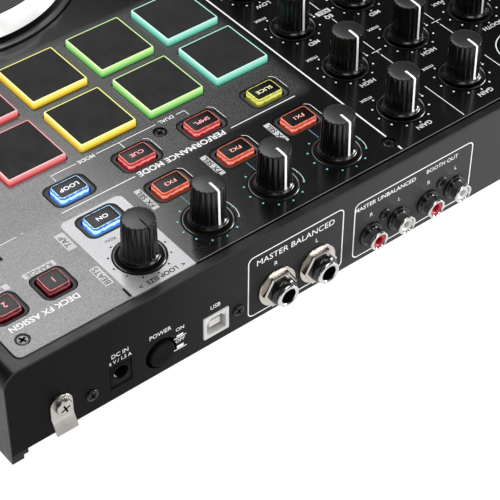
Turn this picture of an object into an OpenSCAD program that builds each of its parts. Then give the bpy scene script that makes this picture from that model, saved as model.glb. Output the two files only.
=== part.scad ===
// Four-channel controller for mixing music. X runs to the player's right,
// Y to the rear, Z up. The origin is on the table, midway across the width
// and midway between the front face and the rearmost socket.

/* [Housing] */
// Width across the side cheeks
body_w = 538; // [536:1:544]
// Depth from the front face to the rear panel
body_d = 350; // [349:1:356]
// Height of the face plate above the table
plate_z = 47.5; // [46:0.5:52]
// Radius of the long upper edges
edge_r = 6.5; // [5:0.5:7]
// Wall thickness of the upper shell
wall = 2.5; // [2:0.1:3]
// Thickness of the face plate
plate_t = 2; // [1.5:0.1:2.5]
// Flat rim between the face plate and the long upper edges
rim_w = 3.8; // [3.4:0.1:5]
// Gap round the face plate
plate_gap = 0.5; // [0.4:0.1:0.8]
// Height of the rubber feet
foot_h = 6.1; // [5:0.1:7]

/* [Deck layout] */
// Distance between the two decks
deck_pitch = 343; // [341:0.5:345]
// Middle of the outermost pad, from the centre line
pad_x = 200.7; // [199:0.1:202]
// Middle of the rear pad row, from the rear panel
pad_y = 92.9; // [91:0.1:95]
// Pad pitch both ways
pad_pitch = 33; // [32:0.1:34]
// Side of a square pad
pad_side = 26.2; // [25:0.1:26.6]
// Height of a pad above the face plate
pad_up = 2.6; // [2:0.1:3.5]
// Travel of a pad
pad_travel = 1.2; // [0.6:0.1:1.5]
// Pitch of the button and knob columns
col_pitch = 31.25; // [31:0.05:31.5]
// Outermost button and knob column
col_x = 197.2; // [196:0.1:198]
// Row of the pad mode buttons, from the rear panel
mode_y = 64.1; // [63:0.1:65]
// Row of the effect buttons, from the rear panel
fx_y = 42.9; // [42:0.1:44]
// Row of the effect knobs, from the rear panel
knob_y = 19.5; // [19:0.1:21]
// Row of the two assign buttons, from the rear panel
assign_y = 27; // [26:0.1:28]

/* [Jog wheels] */
// Middle of the jog wheel across the deck
jog_x = 164; // [163:0.5:165]
// Middle of the jog wheel, from the rear panel
jog_y = 212.3; // [212:0.1:214]
// Outer radius of the fixed ring
jog_ring_r = 60.6; // [60:0.1:61]
// Outer radius of the turning rim
jog_r = 56.6; // [56:0.1:57]
// Height of the turning rim above the face plate
jog_up = 11; // [10:0.5:14]
// Number of finger dimples in the rim
jog_dimples = 12; // [8:1:16]

/* [Mixer] */
// Pitch of the mixer columns
mix_pitch = 33.2; // [33:0.1:33.4]
// Rear row of mixer knobs, from the rear panel
mix_y = 24.1; // [23.5:0.1:25]
// Pitch of the mixer knob rows
mix_row = 33.4; // [33:0.1:33.6]
// Booth knob, from the rear panel
booth_y = 54.2; // [54:0.1:55]
// Travel of the channel faders and the crossfader
fader_travel = 45; // [40:1:45]
// Travel of the pitch faders
pitch_travel = 100; // [90:1:100]

/* [Knobs] */
// Height of a knob above the face plate
knob_up = 18.7; // [15:0.1:20]
// Radius of a knob at its top
knob_r = 6.4; // [5.5:0.1:6.6]
// Outer radius of a knob's skirt
skirt_r = 7.85; // [7.4:0.05:7.9]
// Height of a knob's skirt above the face plate
skirt_up = 0.6; // [0.4:0.1:1.2]
// Outer radius of the collar round a knob
collar_r = 9.8; // [9.6:0.1:9.9]
// Number of flutes on a knob
flutes = 18; // [12:1:24]

/* [Rear panel] */
// Height of the socket row above the table
socket_z = 18; // [17:0.1:19]
// Bore radius of a quarter inch socket
jack_bore_r = 3.25; // [3.2:0.01:3.3]
// Outer radius of a phono barrel
phono_r = 4.15; // [4.1:0.01:4.2]
// Reach of the phono barrels behind the panel
phono_out = 6.2; // [5:0.1:9]

/* [Hidden] */
$fn = 48;
hw = body_w / 2;
yr = body_d / 2 - 4;             // rear panel's outer face
yf = yr - body_d;                // front face
rim_z = plate_z - 0.5;           // top of the shell's rim
panel_t = 2;
lip_t = 1;                       // shell lip over the rear panel
plate_x = hw - edge_r - rim_w + 1.2;
plate_yr = yr - rim_w;
plate_yf = yf + edge_r + 2;
board_z = 33;                    // underside of the control board
board_t = 1.6;
board_top = board_z + board_t;
shaft_r = 3;
run = 0.05;                      // running clearance of a shaft
cap_gap = 0.7;                   // gap round a button cap
fit_gap = 0.3;                   // gap between a trim piece and its hole
btn_w = 12.8; btn_d = 8.6; btn_up = 2; btn_travel = 0.8;
sq_w = 9.4;                      // square assign buttons
bez_w = 18.3; bez_d = 13.1; bez_r = 3.4;
sq_bez = 14.1;
ch_x = [for (i = [-2, -1, 1, 2]) i * mix_pitch];
ch_fader_y = yr - 235;
cross_y = yr - 308;
pitch_fx = 242;                  // pitch fader across the right deck
pitch_fy = yr - 105;
trans_y = yr - 308;
jack_x = [148.9, 129];
phono_x = [101.7, 87.2, 71.6, 57.1];
usb_x = 177.7; usb_z = 15.7;
dc_x = 221; dc_z = 17.3;
power_x = 203; power_z = 16.3; power_r = 5.6;
lug_x = 247.2; lug_z = 19.5; lug_w = 9.4;
phone_x = [-236, -216]; phone_z = 24; phone_r = [jack_bore_r, 1.8];
cable_free = 4.6;                // clear depth in front of a contact
washer_r = 8.8; washer_t = 1;    // jack fittings
nut_r = 8; nut_t = 2.2;
jack_r = 5.9; jack_tip_r = 4.35; jack_step = 5.4; jack_out = 8;
barrel_r = 1.6;                  // hole for a phono pin
screw_r = 2.6; screw_h = 0.9; thread_r = 1.4; thread_h = 6;
screw_sink = 1.1;                // depth of the plate screws' seats
cap_foot = 3; pad_foot = 3.4;    // undersides above the control board
foot_step = 1;
pot_side = 11; pot_h = 6.5; bush_r = 3.7;
fader_h = 13; lever_t = 1.6; slot_w = 3;
jog_hub_r = 4; jog_boss_r = 8; jog_skirt_r = 53; jog_well_r = 51.8; jog_hollow_r = 49;
jog_low = 3;                     // underside of the jog's rim above the plate
cheek = 7;                       // width of a side cheek's foot
function col(i) = col_x - col_pitch * i;
function mix_row_y(j) = yr - mix_y - mix_row * j;
jog_yc = yr - jog_y;
deck_dx = [0, -deck_pitch];
// every knob: [x, y]
fx_knobs = [for (d = deck_dx, i = [0:3]) [col(i) + d, yr - knob_y]];
mix_knobs = [for (x = ch_x, j = [0:4]) [x, mix_row_y(j)]];
mid_knobs = [[0, yr - 22], [0, yr - booth_y], [0, yr - booth_y - mix_row],
             [0, yr - booth_y - 2 * mix_row], [0, yr - booth_y - 3 * mix_row]];
all_knobs = concat(fx_knobs, mix_knobs, mid_knobs);
moving_knobs = concat([for (i = [0:3]) fx_knobs[i]],
    [[ch_x[3], mix_row_y(0)], [ch_x[2], mix_row_y(0)], [ch_x[3], mix_row_y(1)],
     [ch_x[2], mix_row_y(1)], [ch_x[3], mix_row_y(2)], mid_knobs[0], mid_knobs[1]]);
fixed_knobs = [for (k = all_knobs)
    if (len([for (m = moving_knobs) if (norm(k - m) < 1) 1]) == 0) k];
// every wide button of one deck: [x, y]
deck_btns = concat([for (i = [0:3]) [col(i), yr - mode_y]], [for (i = [0:3]) [col(i), yr - fx_y]]);
assign_btns = [[229.6, yr - assign_y], [250.2, yr - assign_y]];
transport = [for (i = [0:3]) [118 + 30 * i, trans_y]];
cue_btns = [for (x = ch_x) [x, yr - 186]];
pad_pos = [for (j = [0:1], i = [0:3]) [pad_x - pad_pitch * i, yr - pad_y - pad_pitch * j]];
plate_screws = [[253.5, yr - 10.7], [-253.5, yr - 10.7], [84.4, yr - 10.9], [-84.4, yr - 10.9],
                [150.2, yr - 70.5], [150.2 - deck_pitch, yr - 70.5], [253.5, plate_yf + 8],
                [-253.5, plate_yf + 8], [84.4, plate_yf + 8], [-84.4, plate_yf + 8]];
rear_screws = [[234, 14.8], [167.3, 16.1], [(phono_x[0] + phono_x[1]) / 2, 23.6], [(phono_x[2] + phono_x[3]) / 2, 23.6], [-167.3, 16.1], [-234, 14.8]];
base_screws = concat([for (x = [-248.5, 248.5], y = [yf + 14, yr - 14]) [x, y]],
    [for (x = [-84, 84], y = [yf + 14, yr - 60]) [x, y]]);
feet = [for (x = [-225, 225], y = [yf + 30, yr - 30]) [x, y]];

// ---- shared shapes ----
module rrect(w, d, r) {
    square([w - 2 * r, d], center = true);
    square([w, d - 2 * r], center = true);
    for (x = [-1, 1], y = [-1, 1]) translate([x * (w / 2 - r), y * (d / 2 - r)]) circle(r);
}
module slab(w, d, r, z0, z1) {
    translate([0, 0, z0]) linear_extrude(z1 - z0) rrect(w, d, r);
}
module rod_y(x, z, r, y0, y1) {
    translate([x, y0, z]) rotate([-90, 0, 0]) cylinder(r = r, h = y1 - y0);
}
module box(x0, x1, y0, y1, z0, z1) {
    translate([x0, y0, z0]) cube([x1 - x0, y1 - y0, z1 - z0]);
}
module at(p) { translate([p[0], p[1], 0]) children(); }
module decks() { for (d = deck_dx) translate([d, 0, 0]) children(); }

// outline seen from the rear, with both long upper edges rounded
module end_outline(half, top, z0) {
    translate([-half, z0]) square([2 * half, top - edge_r - z0]);
    translate([-half + edge_r, z0]) square([2 * (half - edge_r), top - z0]);
    for (s = [-1, 1]) translate([s * (half - edge_r), top - edge_r]) circle(edge_r);
}
module along_y(y0, y1) { translate([0, y1, 0]) rotate([90, 0, 0]) linear_extrude(y1 - y0) children(); }
// outline seen from the side, with the front upper edge rounded
module side_outline() {
    translate([yf + edge_r, foot_h]) square([body_d - edge_r, rim_z - foot_h]);
    translate([yf, foot_h]) square([edge_r, rim_z - edge_r - foot_h]);
    translate([yf + edge_r, rim_z - edge_r]) circle(edge_r);
}

module knob_shape(p) {
    at(p) {
        translate([0, 0, board_top + 1.6]) cylinder(r = shaft_r, h = plate_z + 2 - board_top - 1.6);
        translate([0, 0, plate_z + skirt_up]) {
            cylinder(r = skirt_r, h = 0.8);
            translate([0, 0, 0.8]) cylinder(r1 = skirt_r, r2 = knob_r + 0.5, h = 1.4);
        }
        translate([0, 0, plate_z + skirt_up + 1]) linear_extrude(knob_up - skirt_up - 2)
            polygon([for (i = [0:2 * flutes - 1])
                let (a = i * 180 / flutes, r = knob_r + (i % 2 == 0 ? 0.35 : -0.05)) [r * cos(a), r * sin(a)]]);
        translate([0, 0, plate_z + knob_up - 1]) cylinder(r1 = knob_r, r2 = knob_r - 0.5, h = 1);
    }
}
module cap_shape(p, w, d) {
    at(p) {
        slab(w, d, 1, board_top + cap_foot, plate_z + btn_up);
        slab(w - 3, d - 3, 1, board_top + cap_foot - foot_step, board_top + cap_foot);
    }
}
module pad_shape(p) {
    at(p) {
        slab(pad_side, pad_side, 1, board_top + pad_foot, plate_z + pad_up);
        slab(pad_side - 6, pad_side - 6, 1, board_top + pad_foot - foot_step, board_top + pad_foot);
    }
}
// one slide fader's cap on its lever; w across the slot, l along it
module fader_shape(w, l, h) {
    difference() {
        slab(w, l, 1, plate_z + 1.2, plate_z + h);
        for (s = [-1, 1]) translate([0, s * (l / 2 + 5.2), plate_z + h + 1]) rotate([0, 90, 0])
            cylinder(r = 7, h = w + 2, center = true);
    }
    box(-lever_t / 2, lever_t / 2, -3, 3, board_top + 2, plate_z + 1.2);
}
module jog_shape(x) {
    translate([x, jog_yc, plate_z]) {
        difference() {
            union() {
                translate([0, 0, jog_low]) cylinder(r1 = jog_r, r2 = jog_r - 0.6, h = jog_up - jog_low - 2);
                translate([0, 0, jog_up - 2]) cylinder(r1 = jog_r - 0.6, r2 = jog_r - 3, h = 2);
                translate([0, 0, -jog_low]) cylinder(r = jog_skirt_r, h = 2 * jog_low);
            }
            translate([0, 0, jog_up - 0.8]) cylinder(r = jog_well_r, h = 2);
            translate([0, 0, -jog_low - 1]) cylinder(r = jog_hollow_r, h = jog_up);
            for (i = [0:jog_dimples - 1]) rotate([0, 0, 360 / jog_dimples * i + 2])
                translate([jog_r + 4, 0, 4.5]) cylinder(r1 = 5.5, r2 = 7, h = jog_up);
        }
        translate([0, 0, -25]) cylinder(r = jog_hub_r, h = 25 + 7.5);
        cylinder(r = jog_boss_r, h = 7.5);
    }
}
module knob_hole() { circle(collar_r + 0.4); }

// ---- housing ----
module bottom_shell() {
    color("#202022") difference() {
        union() {
            box(-hw + cheek + fit_gap, hw - cheek - fit_gap, yf + wall + fit_gap, yr - panel_t - fit_gap, foot_h, foot_h + 2);
            for (p = base_screws) at(p) translate([0, 0, foot_h]) cylinder(r = 4, h = board_z - foot_h);
            for (x = [-190, -60, 60, 190]) box(x - 1, x + 1, yf + 20, yr - 50, foot_h, foot_h + 6);
        }
        for (p = base_screws) at(p) translate([0, 0, foot_h - 1]) cylinder(r = 1.6, h = 20);
    }
}
module top_shell() {
    color("#4a4a4c") difference() {
        union() {
            intersection() {
                along_y(yf, yr) end_outline(hw, rim_z, foot_h);
                rotate([90, 0, 90]) linear_extrude(body_w + 2, center = true) side_outline();
            }
            for (s = [-1, 1]) {
                box(s > 0 ? hw - 5 : -hw, s > 0 ? hw : -hw + 5, yf + 12, yr, 2, foot_h + 1);
                box(s > 0 ? hw - cheek : -hw, s > 0 ? hw : -hw + cheek, yf + 12, yr, 4, foot_h + 1);
            }
        }
        // cavity, leaving walls and a ledge under the face plate
        box(-hw + wall, hw - wall, yf + wall, yr + 1, foot_h + 1, rim_z - 5.5);
        box(-hw + cheek, hw - cheek, yf + wall, yr + 1, 0, foot_h + 2);
        box(-plate_x + 2.5, plate_x - 2.5, plate_yf + 4, plate_yr - 1.6, rim_z - 6, rim_z + 1);
        // seat of the face plate
        translate([0, (plate_yr + plate_yf) / 2, plate_z - plate_t - 0.05]) linear_extrude(8)
            rrect(2 * (plate_x + plate_gap), plate_yr - plate_yf + 2 * plate_gap, 3);
        // the rear panel's seat under the lip
        along_y(yr - panel_t - 0.1, yr + 1) end_outline(hw - 0.6, rim_z - lip_t, foot_h);
        // front sockets
        for (i = [0, 1]) rod_y(phone_x[i], phone_z, phone_r[i] + 2.6, yf - 1, yf + wall + 1);
    }
}
module face_plate() {
    color("#3a3a3c") difference() {
        translate([0, 0, plate_z - plate_t]) linear_extrude(plate_t) plate_outline();
        for (s = plate_screws) at(s) translate([0, 0, plate_z - screw_sink]) cylinder(r = screw_r + 0.35, h = 2);
    }
}
module plate_outline() {
    difference() {
        translate([0, (plate_yr + plate_yf) / 2]) rrect(2 * plate_x, plate_yr - plate_yf, 2.5);
        for (k = all_knobs) translate(k) knob_hole();
        for (d = deck_dx) translate([d, 0]) {
            for (p = pad_pos) translate(p) rrect(pad_side + 1.2, pad_side + 1.2, 1.2);
            for (b = deck_btns) translate(b) rrect(bez_w + 2 * fit_gap, bez_d + 2 * fit_gap, bez_r + fit_gap);
            for (b = assign_btns) translate(b) rrect(sq_bez + 2 * fit_gap, sq_bez + 2 * fit_gap, bez_r + fit_gap);
            for (b = transport) translate(b) rrect(bez_w + 2 * fit_gap, bez_d + 2 * fit_gap, bez_r + fit_gap);
            translate([jog_x, jog_yc]) circle(jog_ring_r + 0.6);
            translate([pitch_fx, pitch_fy]) square([10, pitch_travel + 14], center = true);
        }
        for (b = cue_btns) translate(b) rrect(bez_w + 2 * fit_gap, bez_d + 2 * fit_gap, bez_r + fit_gap);
        for (x = ch_x) translate([x, ch_fader_y]) square([slot_w, fader_travel + 9], center = true);
        translate([0, cross_y]) square([fader_travel + 9, slot_w], center = true);
        for (s = plate_screws) translate(s) circle(1.7);
    }
}
module rear_panel() {
    color("#1c1c1e") difference() {
        along_y(yr - panel_t, yr) end_outline(hw - 0.8, rim_z - lip_t - 0.1, foot_h);
        for (x = jack_x) rod_y(x, socket_z, 6.1, yr - 4, yr + 1);
        for (x = phono_x) rod_y(x, socket_z - 0.4, 5.5, yr - 4, yr + 1);
        box(usb_x - 6.2, usb_x + 6.2, yr - 4, yr + 1, usb_z - 5.9, usb_z + 5.9);
        box(dc_x - 4.9, dc_x + 4.9, yr - 4, yr + 1, dc_z - 5.7, dc_z + 5.7);
        rod_y(power_x, power_z, 7, yr - 4, yr + 1);
        rod_y(lug_x, lug_z, 1.7, yr - 4, yr + 1);
        for (s = rear_screws) rod_y(s[0], s[1], 1.5, yr - 4, yr + 1);
    }
}
module rubber_feet() {
    color("#111111") for (p = feet) at(p) cylinder(r1 = 9, r2 = 10, h = foot_h);
}
module screw_up(p, z) {
    at(p) translate([0, 0, z]) {
        difference() {
            cylinder(r1 = screw_r, r2 = screw_r - 0.3, h = screw_h);
            for (a = [0, 90]) rotate([0, 0, a]) translate([-1.4, -0.3, screw_h - 0.5]) cube([2.8, 0.6, 1]);
        }
        translate([0, 0, -thread_h]) cylinder(r = thread_r, h = thread_h);
    }
}
module screws() {
    color("#8a8a8c") {
        for (s = plate_screws) screw_up(s, plate_z - screw_sink);
        for (s = rear_screws) translate([s[0], yr, s[1]]) rotate([-90, 0, 0]) screw_up([0, 0], 0);
        for (s = base_screws) translate([s[0], s[1], foot_h]) rotate([180, 0, 0]) screw_up([0, 0], 0);
    }
}
module bezel(p, w, d, cw, cd) {
    at(p) translate([0, 0, plate_z - 3]) linear_extrude(2.7) difference() {
        rrect(w, d, bez_r);
        rrect(cw + 2 * cap_gap, cd + 2 * cap_gap, 1.6);
    }
}
module button_bezels() {
    color("#434346") {
        decks() {
            for (b = deck_btns) bezel(b, bez_w, bez_d, btn_w, btn_d);
            for (b = assign_btns) bezel(b, sq_bez, sq_bez, sq_w, sq_w);
            for (b = transport) bezel(b, bez_w, bez_d, btn_w, btn_d);
            translate([pitch_fx, pitch_fy, plate_z - 1.6]) linear_extrude(1) difference() {
                square([9.4, pitch_travel + 13.4], center = true);
                square([slot_w, pitch_travel + 8], center = true);
            }
        }
        for (b = cue_btns) bezel(b, bez_w, bez_d, btn_w, btn_d);
    }
}
module knob_collars() {
    color("#2a2a2c") for (k = all_knobs) at(k) translate([0, 0, plate_z - 3]) difference() {
        cylinder(r = collar_r, h = 3.3);
        translate([0, 0, 1.2]) cylinder(r = skirt_r + 0.5, h = 3);
        translate([0, 0, -1]) cylinder(r = 4, h = 3);
    }
}

// ---- inside ----
module control_board() {
    color("#1d5a36") translate([0, 0, board_z]) linear_extrude(board_t) difference() {
        translate([0, (plate_yr + plate_yf) / 2]) square([2 * plate_x - 16, plate_yr - plate_yf - 16], center = true);
        for (d = deck_dx) translate([jog_x + d, jog_yc]) circle(jog_ring_r - 1.6);
        for (s = plate_screws) translate(s) circle(4);
    }
}
module io_board() {
    color("#1d5a36") {
        box(45, 230, yr - 45, yr - 6, foot_h + 2.4, foot_h + 3.8);
        for (x = [50, 120, 190]) box(x - 2, x + 2, yr - 40, yr - 30, foot_h + 2, foot_h + 2.4);
        difference() {
            box(power_x - 7, power_x + 7, yr - 30, yr - 8, foot_h + 3.8, power_z + 8);
            rod_y(power_x, power_z, power_r + 0.4, yr - 16, yr);
        }
    }
}
module jack_sockets() {
    color("#191919") for (x = jack_x) difference() {
        union() {
            box(x - 8, x + 8, yr - 26, yr - panel_t, socket_z - 7, socket_z + 7);
            rod_y(x, socket_z, jack_r, yr - panel_t, yr + jack_step);
            rod_y(x, socket_z, jack_tip_r, yr + jack_step, yr + jack_out);
        }
        rod_y(x, socket_z, jack_bore_r, yr - 24, yr + jack_out + 1);
    }
}
module jack_nuts() {
    color("#d8d2c6") for (x = jack_x) translate([x, yr, socket_z]) rotate([-90, 0, 0]) difference() {
        union() {
            cylinder(r = washer_r, h = washer_t);
            translate([0, 0, washer_t]) rotate(30) cylinder(r = nut_r, h = nut_t, $fn = 6);
        }
        translate([0, 0, -1]) cylinder(r = jack_r + 0.1, h = 6);
    }
}
module phono_sockets() {
    color("#c9c9c9") {
        for (i = [0, 2]) difference() {
            box(phono_x[i + 1] - 6, phono_x[i] + 6, yr - 14, yr - panel_t, socket_z - 7.4, socket_z + 7.6);
            rod_y((phono_x[i] + phono_x[i + 1]) / 2, rear_screws[2][1], 1.5, yr - 10, yr);
        }
        for (x = phono_x) difference() {
            union() {
                rod_y(x, socket_z - 0.4, 5.3, yr - panel_t, yr + 1.2);
                rod_y(x, socket_z - 0.4, phono_r, yr + 1.2, yr + phono_out);
            }
            rod_y(x, socket_z - 0.4, barrel_r, yr - 1, yr + phono_out + 1);
        }
    }
}
module usb_socket() {
    color("#d6d6d2") difference() {
        box(usb_x - 6, usb_x + 6, yr - 17, yr + 0.3, usb_z - 5.6, usb_z + 5.6);
        difference() {
            box(usb_x - 4.25, usb_x + 4.25, yr - 15, yr + 1, usb_z - 3.9, usb_z + 3.9);
            box(usb_x - 2.8, usb_x + 2.8, yr - 15, yr - cable_free, usb_z - 1.6, usb_z + 1.6);
        }
    }
}
module dc_socket() {
    color("#151515") {
        difference() {
            box(dc_x - 4.7, dc_x + 4.7, yr - 14, yr, dc_z - 5.5, dc_z + 5.5);
            rod_y(dc_x, dc_z + 1, 3.2, yr - 12, yr + 1);
        }
        rod_y(dc_x, dc_z + 1, 1, yr - 12.5, yr - cable_free);
    }
}
module ground_terminal() {
    color("#cfccc4") {
        difference() {
            union() {
                rod_y(lug_x, lug_z, lug_w / 2, yr, yr + 1);
                box(lug_x - lug_w / 2, lug_x + lug_w / 2, yr, yr + 1, lug_z - 6, lug_z);
                translate([lug_x - lug_w / 2, yr, lug_z]) rotate([90, 0, 90]) linear_extrude(lug_w)
                    polygon([[0, -6], [1, -6], [4, -11.6], [3.2, -12]]);
            }
            rod_y(lug_x, lug_z, 1.7, yr - 1, yr + 2);
        }
        difference() {
            rod_y(lug_x, lug_z, 3.4, yr + 1, yr + 3.4);
            for (a = [0, 90]) translate([lug_x, yr + 3, lug_z]) rotate([0, a, 0]) cube([4.4, 2, 0.7], center = true);
        }
        rod_y(lug_x, lug_z, 1.5, yr - 8, yr + 1);
    }
}
module pot_bodies() {
    color("#3c4a5a") for (k = all_knobs) at(k) difference() {
        union() {
            box(-pot_side / 2, pot_side / 2, -pot_side / 2, pot_side / 2, board_top, board_top + pot_h);
            translate([0, 0, board_top + 6]) cylinder(r = bush_r, h = plate_z - 2.5 - board_top - 6);
        }
        translate([0, 0, board_top + 1]) cylinder(r = shaft_r + run, h = 20);
    }
}
module fader_body(len) {
    difference() {
        box(-6, 6, -len / 2 - 8, len / 2 + 8, board_top, board_top + 8);
        box(-1.5, 1.5, -len / 2 - 4, len / 2 + 4, board_top + 1, board_top + 9);
    }
}
module fader_bodies() {
    color("#8d9094") {
        for (x = ch_x) translate([x, ch_fader_y, 0]) fader_body(fader_travel);
        translate([0, cross_y, 0]) rotate([0, 0, 90]) fader_body(fader_travel);
        decks() translate([pitch_fx, pitch_fy, 0]) fader_body(pitch_travel);
    }
}
module jog_bases() {
    color("#6c6c70") decks() translate([jog_x, jog_yc, 0]) difference() {
        union() {
            translate([0, 0, plate_z - plate_t]) cylinder(r = jog_ring_r, h = plate_t + 0.8);
            translate([0, 0, plate_z + 0.8]) cylinder(r1 = jog_ring_r, r2 = jog_ring_r - 0.6, h = 0.4);
            translate([0, 0, board_z - 3]) cylinder(r = 57, h = plate_z - board_z + 1);
            translate([0, 0, foot_h + 8]) cylinder(r = 9, h = board_z - foot_h - 8);
        }
        translate([0, 0, board_z]) cylinder(r = 55, h = 30);
        translate([0, 0, foot_h + 7]) cylinder(r = jog_hub_r + run, h = 40);
    }
}
module front_sockets() {
    color("#1a1a1a") for (i = [0, 1]) difference() {
        union() {
            rod_y(phone_x[i], phone_z, phone_r[i] + 2.2, yf, yf + wall + 1);
            box(phone_x[i] - 7, phone_x[i] + 7, yf + wall + 1, yf + 26, phone_z - 7, phone_z + 7);
        }
        rod_y(phone_x[i], phone_z, phone_r[i], yf - 1, yf + 24);
    }
}
module knobs_joined() { color("#171717") for (k = fixed_knobs) knob_shape(k); }

// ---- pads ----
module pad_rear_1() { color("#e06a70") pad_shape(pad_pos[0]); }
module pad_rear_2() { color("#e8df6a") pad_shape(pad_pos[1]); }
module pad_rear_3() { color("#8fd67a") pad_shape(pad_pos[2]); }
module pad_rear_4() { color("#5cc0a8") pad_shape(pad_pos[3]); }
module pad_front_1() { color("#e06a70") pad_shape(pad_pos[4]); }
module pad_front_2() { color("#e8df6a") pad_shape(pad_pos[5]); }
module pad_front_3() { color("#8fd67a") pad_shape(pad_pos[6]); }
module pad_front_4() { color("#5cc0a8") pad_shape(pad_pos[7]); }
module pads_left() { color("#9a9a9a") translate([-deck_pitch, 0, 0]) for (p = pad_pos) pad_shape(p); }

// ---- buttons ----
module mode_button_1() { color("#8fc4ff") cap_shape(deck_btns[0], btn_w, btn_d); }
module mode_button_2() { color("#e0454a") cap_shape(deck_btns[1], btn_w, btn_d); }
module mode_button_3() { color("#e0454a") cap_shape(deck_btns[2], btn_w, btn_d); }
module mode_button_4() { color("#e8cf3a") cap_shape(deck_btns[3], btn_w, btn_d); }
module fx_button_1() { color("#8fc4ff") cap_shape(deck_btns[4], btn_w, btn_d); }
module fx_button_2() { color("#e8604a") cap_shape(deck_btns[5], btn_w, btn_d); }
module fx_button_3() { color("#e8604a") cap_shape(deck_btns[6], btn_w, btn_d); }
module fx_button_4() { color("#e8604a") cap_shape(deck_btns[7], btn_w, btn_d); }
module assign_button_1() { color("#8a3038") cap_shape(assign_btns[0], sq_w, sq_w); }
module assign_button_2() { color("#8a3038") cap_shape(assign_btns[1], sq_w, sq_w); }
module buttons_left() {
    color("#b05050") translate([-deck_pitch, 0, 0]) {
        for (b = deck_btns) cap_shape(b, btn_w, btn_d);
        for (b = assign_btns) cap_shape(b, sq_w, sq_w);
    }
}
module transport_buttons() {
    color("#b8b8b8") {
        decks() for (b = transport) cap_shape(b, btn_w, btn_d);
        for (b = cue_btns) cap_shape(b, btn_w, btn_d);
    }
}

// ---- knobs ----
module loop_encoder() { color("#171717") knob_shape(moving_knobs[0]); }
module fx_knob_2() { color("#171717") knob_shape(moving_knobs[1]); }
module fx_knob_3() { color("#171717") knob_shape(moving_knobs[2]); }
module fx_knob_4() { color("#171717") knob_shape(moving_knobs[3]); }
module gain_knob_4() { color("#171717") knob_shape(moving_knobs[4]); }
module gain_knob_3() { color("#171717") knob_shape(moving_knobs[5]); }
module high_knob_4() { color("#171717") knob_shape(moving_knobs[6]); }
module high_knob_3() { color("#171717") knob_shape(moving_knobs[7]); }
module mid_knob_4() { color("#171717") knob_shape(moving_knobs[8]); }
module browse_encoder() { color("#9a9a9c") knob_shape(moving_knobs[9]); }
module booth_knob() { color("#171717") knob_shape(moving_knobs[10]); }

// ---- faders, jog wheels and switch ----
module channel_faders() {
    color("#1a1a1a") for (x = ch_x) translate([x, ch_fader_y, 0]) fader_shape(12, 22, fader_h);
}
module crossfader() {
    color("#1a1a1a") translate([0, cross_y, 0]) rotate([0, 0, 90]) fader_shape(20, 12, fader_h);
}
module pitch_fader_right() { color("#1a1a1a") translate([pitch_fx, pitch_fy, 0]) fader_shape(16, 24, fader_h); }
module pitch_fader_left() {
    color("#1a1a1a") translate([pitch_fx - deck_pitch, pitch_fy, 0]) fader_shape(16, 24, fader_h);
}
module jog_right() { color("#e8e8ea") jog_shape(jog_x); }
module jog_left() { color("#e8e8ea") jog_shape(jog_x - deck_pitch); }
module power_button() {
    color("#202020") union() {
        rod_y(power_x, power_z, power_r, yr - 10, yr + 1);
        rod_y(power_x, power_z, 2.5, yr - 12, yr - 10);
    }
}

bottom_shell();
top_shell();
face_plate();
rear_panel();
rubber_feet();
screws();
button_bezels();
knob_collars();
control_board();
io_board();
jack_sockets();
jack_nuts();
phono_sockets();
usb_socket();
dc_socket();
ground_terminal();
pot_bodies();
fader_bodies();
jog_bases();
front_sockets();
knobs_joined();
pad_rear_1();
pad_rear_2();
pad_rear_3();
pad_rear_4();
pad_front_1();
pad_front_2();
pad_front_3();
pad_front_4();
pads_left();
mode_button_1();
mode_button_2();
mode_button_3();
mode_button_4();
fx_button_1();
fx_button_2();
fx_button_3();
fx_button_4();
assign_button_1();
assign_button_2();
buttons_left();
transport_buttons();
loop_encoder();
fx_knob_2();
fx_knob_3();
fx_knob_4();
gain_knob_3();
gain_knob_4();
high_knob_3();
high_knob_4();
mid_knob_4();
booth_knob();
browse_encoder();
channel_faders();
crossfader();
pitch_fader_right();
pitch_fader_left();
jog_right();
jog_left();
power_button();
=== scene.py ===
import math

import bpy
from mathutils import Matrix, Vector


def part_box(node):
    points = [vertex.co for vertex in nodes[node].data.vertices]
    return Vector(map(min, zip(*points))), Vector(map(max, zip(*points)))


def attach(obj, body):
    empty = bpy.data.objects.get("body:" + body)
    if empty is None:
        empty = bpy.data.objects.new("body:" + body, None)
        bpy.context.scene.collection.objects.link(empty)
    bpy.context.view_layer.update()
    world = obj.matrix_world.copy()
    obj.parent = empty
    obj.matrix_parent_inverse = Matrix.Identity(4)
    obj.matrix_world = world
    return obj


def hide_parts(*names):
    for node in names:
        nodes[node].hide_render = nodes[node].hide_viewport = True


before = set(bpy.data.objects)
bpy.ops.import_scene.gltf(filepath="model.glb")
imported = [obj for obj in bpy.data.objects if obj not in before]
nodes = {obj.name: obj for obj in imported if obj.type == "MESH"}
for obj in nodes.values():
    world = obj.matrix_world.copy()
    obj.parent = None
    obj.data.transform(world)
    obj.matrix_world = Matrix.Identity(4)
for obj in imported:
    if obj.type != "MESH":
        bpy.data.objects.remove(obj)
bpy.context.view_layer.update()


# lengths below are in millimetres; only finished meshes are in metres
def middle(node):
    low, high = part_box(node)
    return (low + high) * 500


def top(node):
    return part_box(node)[1] * 1000


def ends(node):
    return [c * 1000 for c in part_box(node)]


plateTop = top("face_plate").z
panelFace = top("rear_panel").y
deckStep = middle("jog_left").x - middle("jog_right").x
knobAt = {n: middle(n) for n in ("fx_knob_2", "fx_knob_3", "fx_knob_4", "loop_encoder", "gain_knob_3",
                                 "gain_knob_4", "high_knob_3", "high_knob_4", "mid_knob_4",
                                 "booth_knob", "browse_encoder")}
origin = (0, 0, plateTop)
columnStep = knobAt["gain_knob_4"].x - knobAt["gain_knob_3"].x
rowStep = knobAt["gain_knob_4"].y - knobAt["high_knob_4"].y


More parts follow.
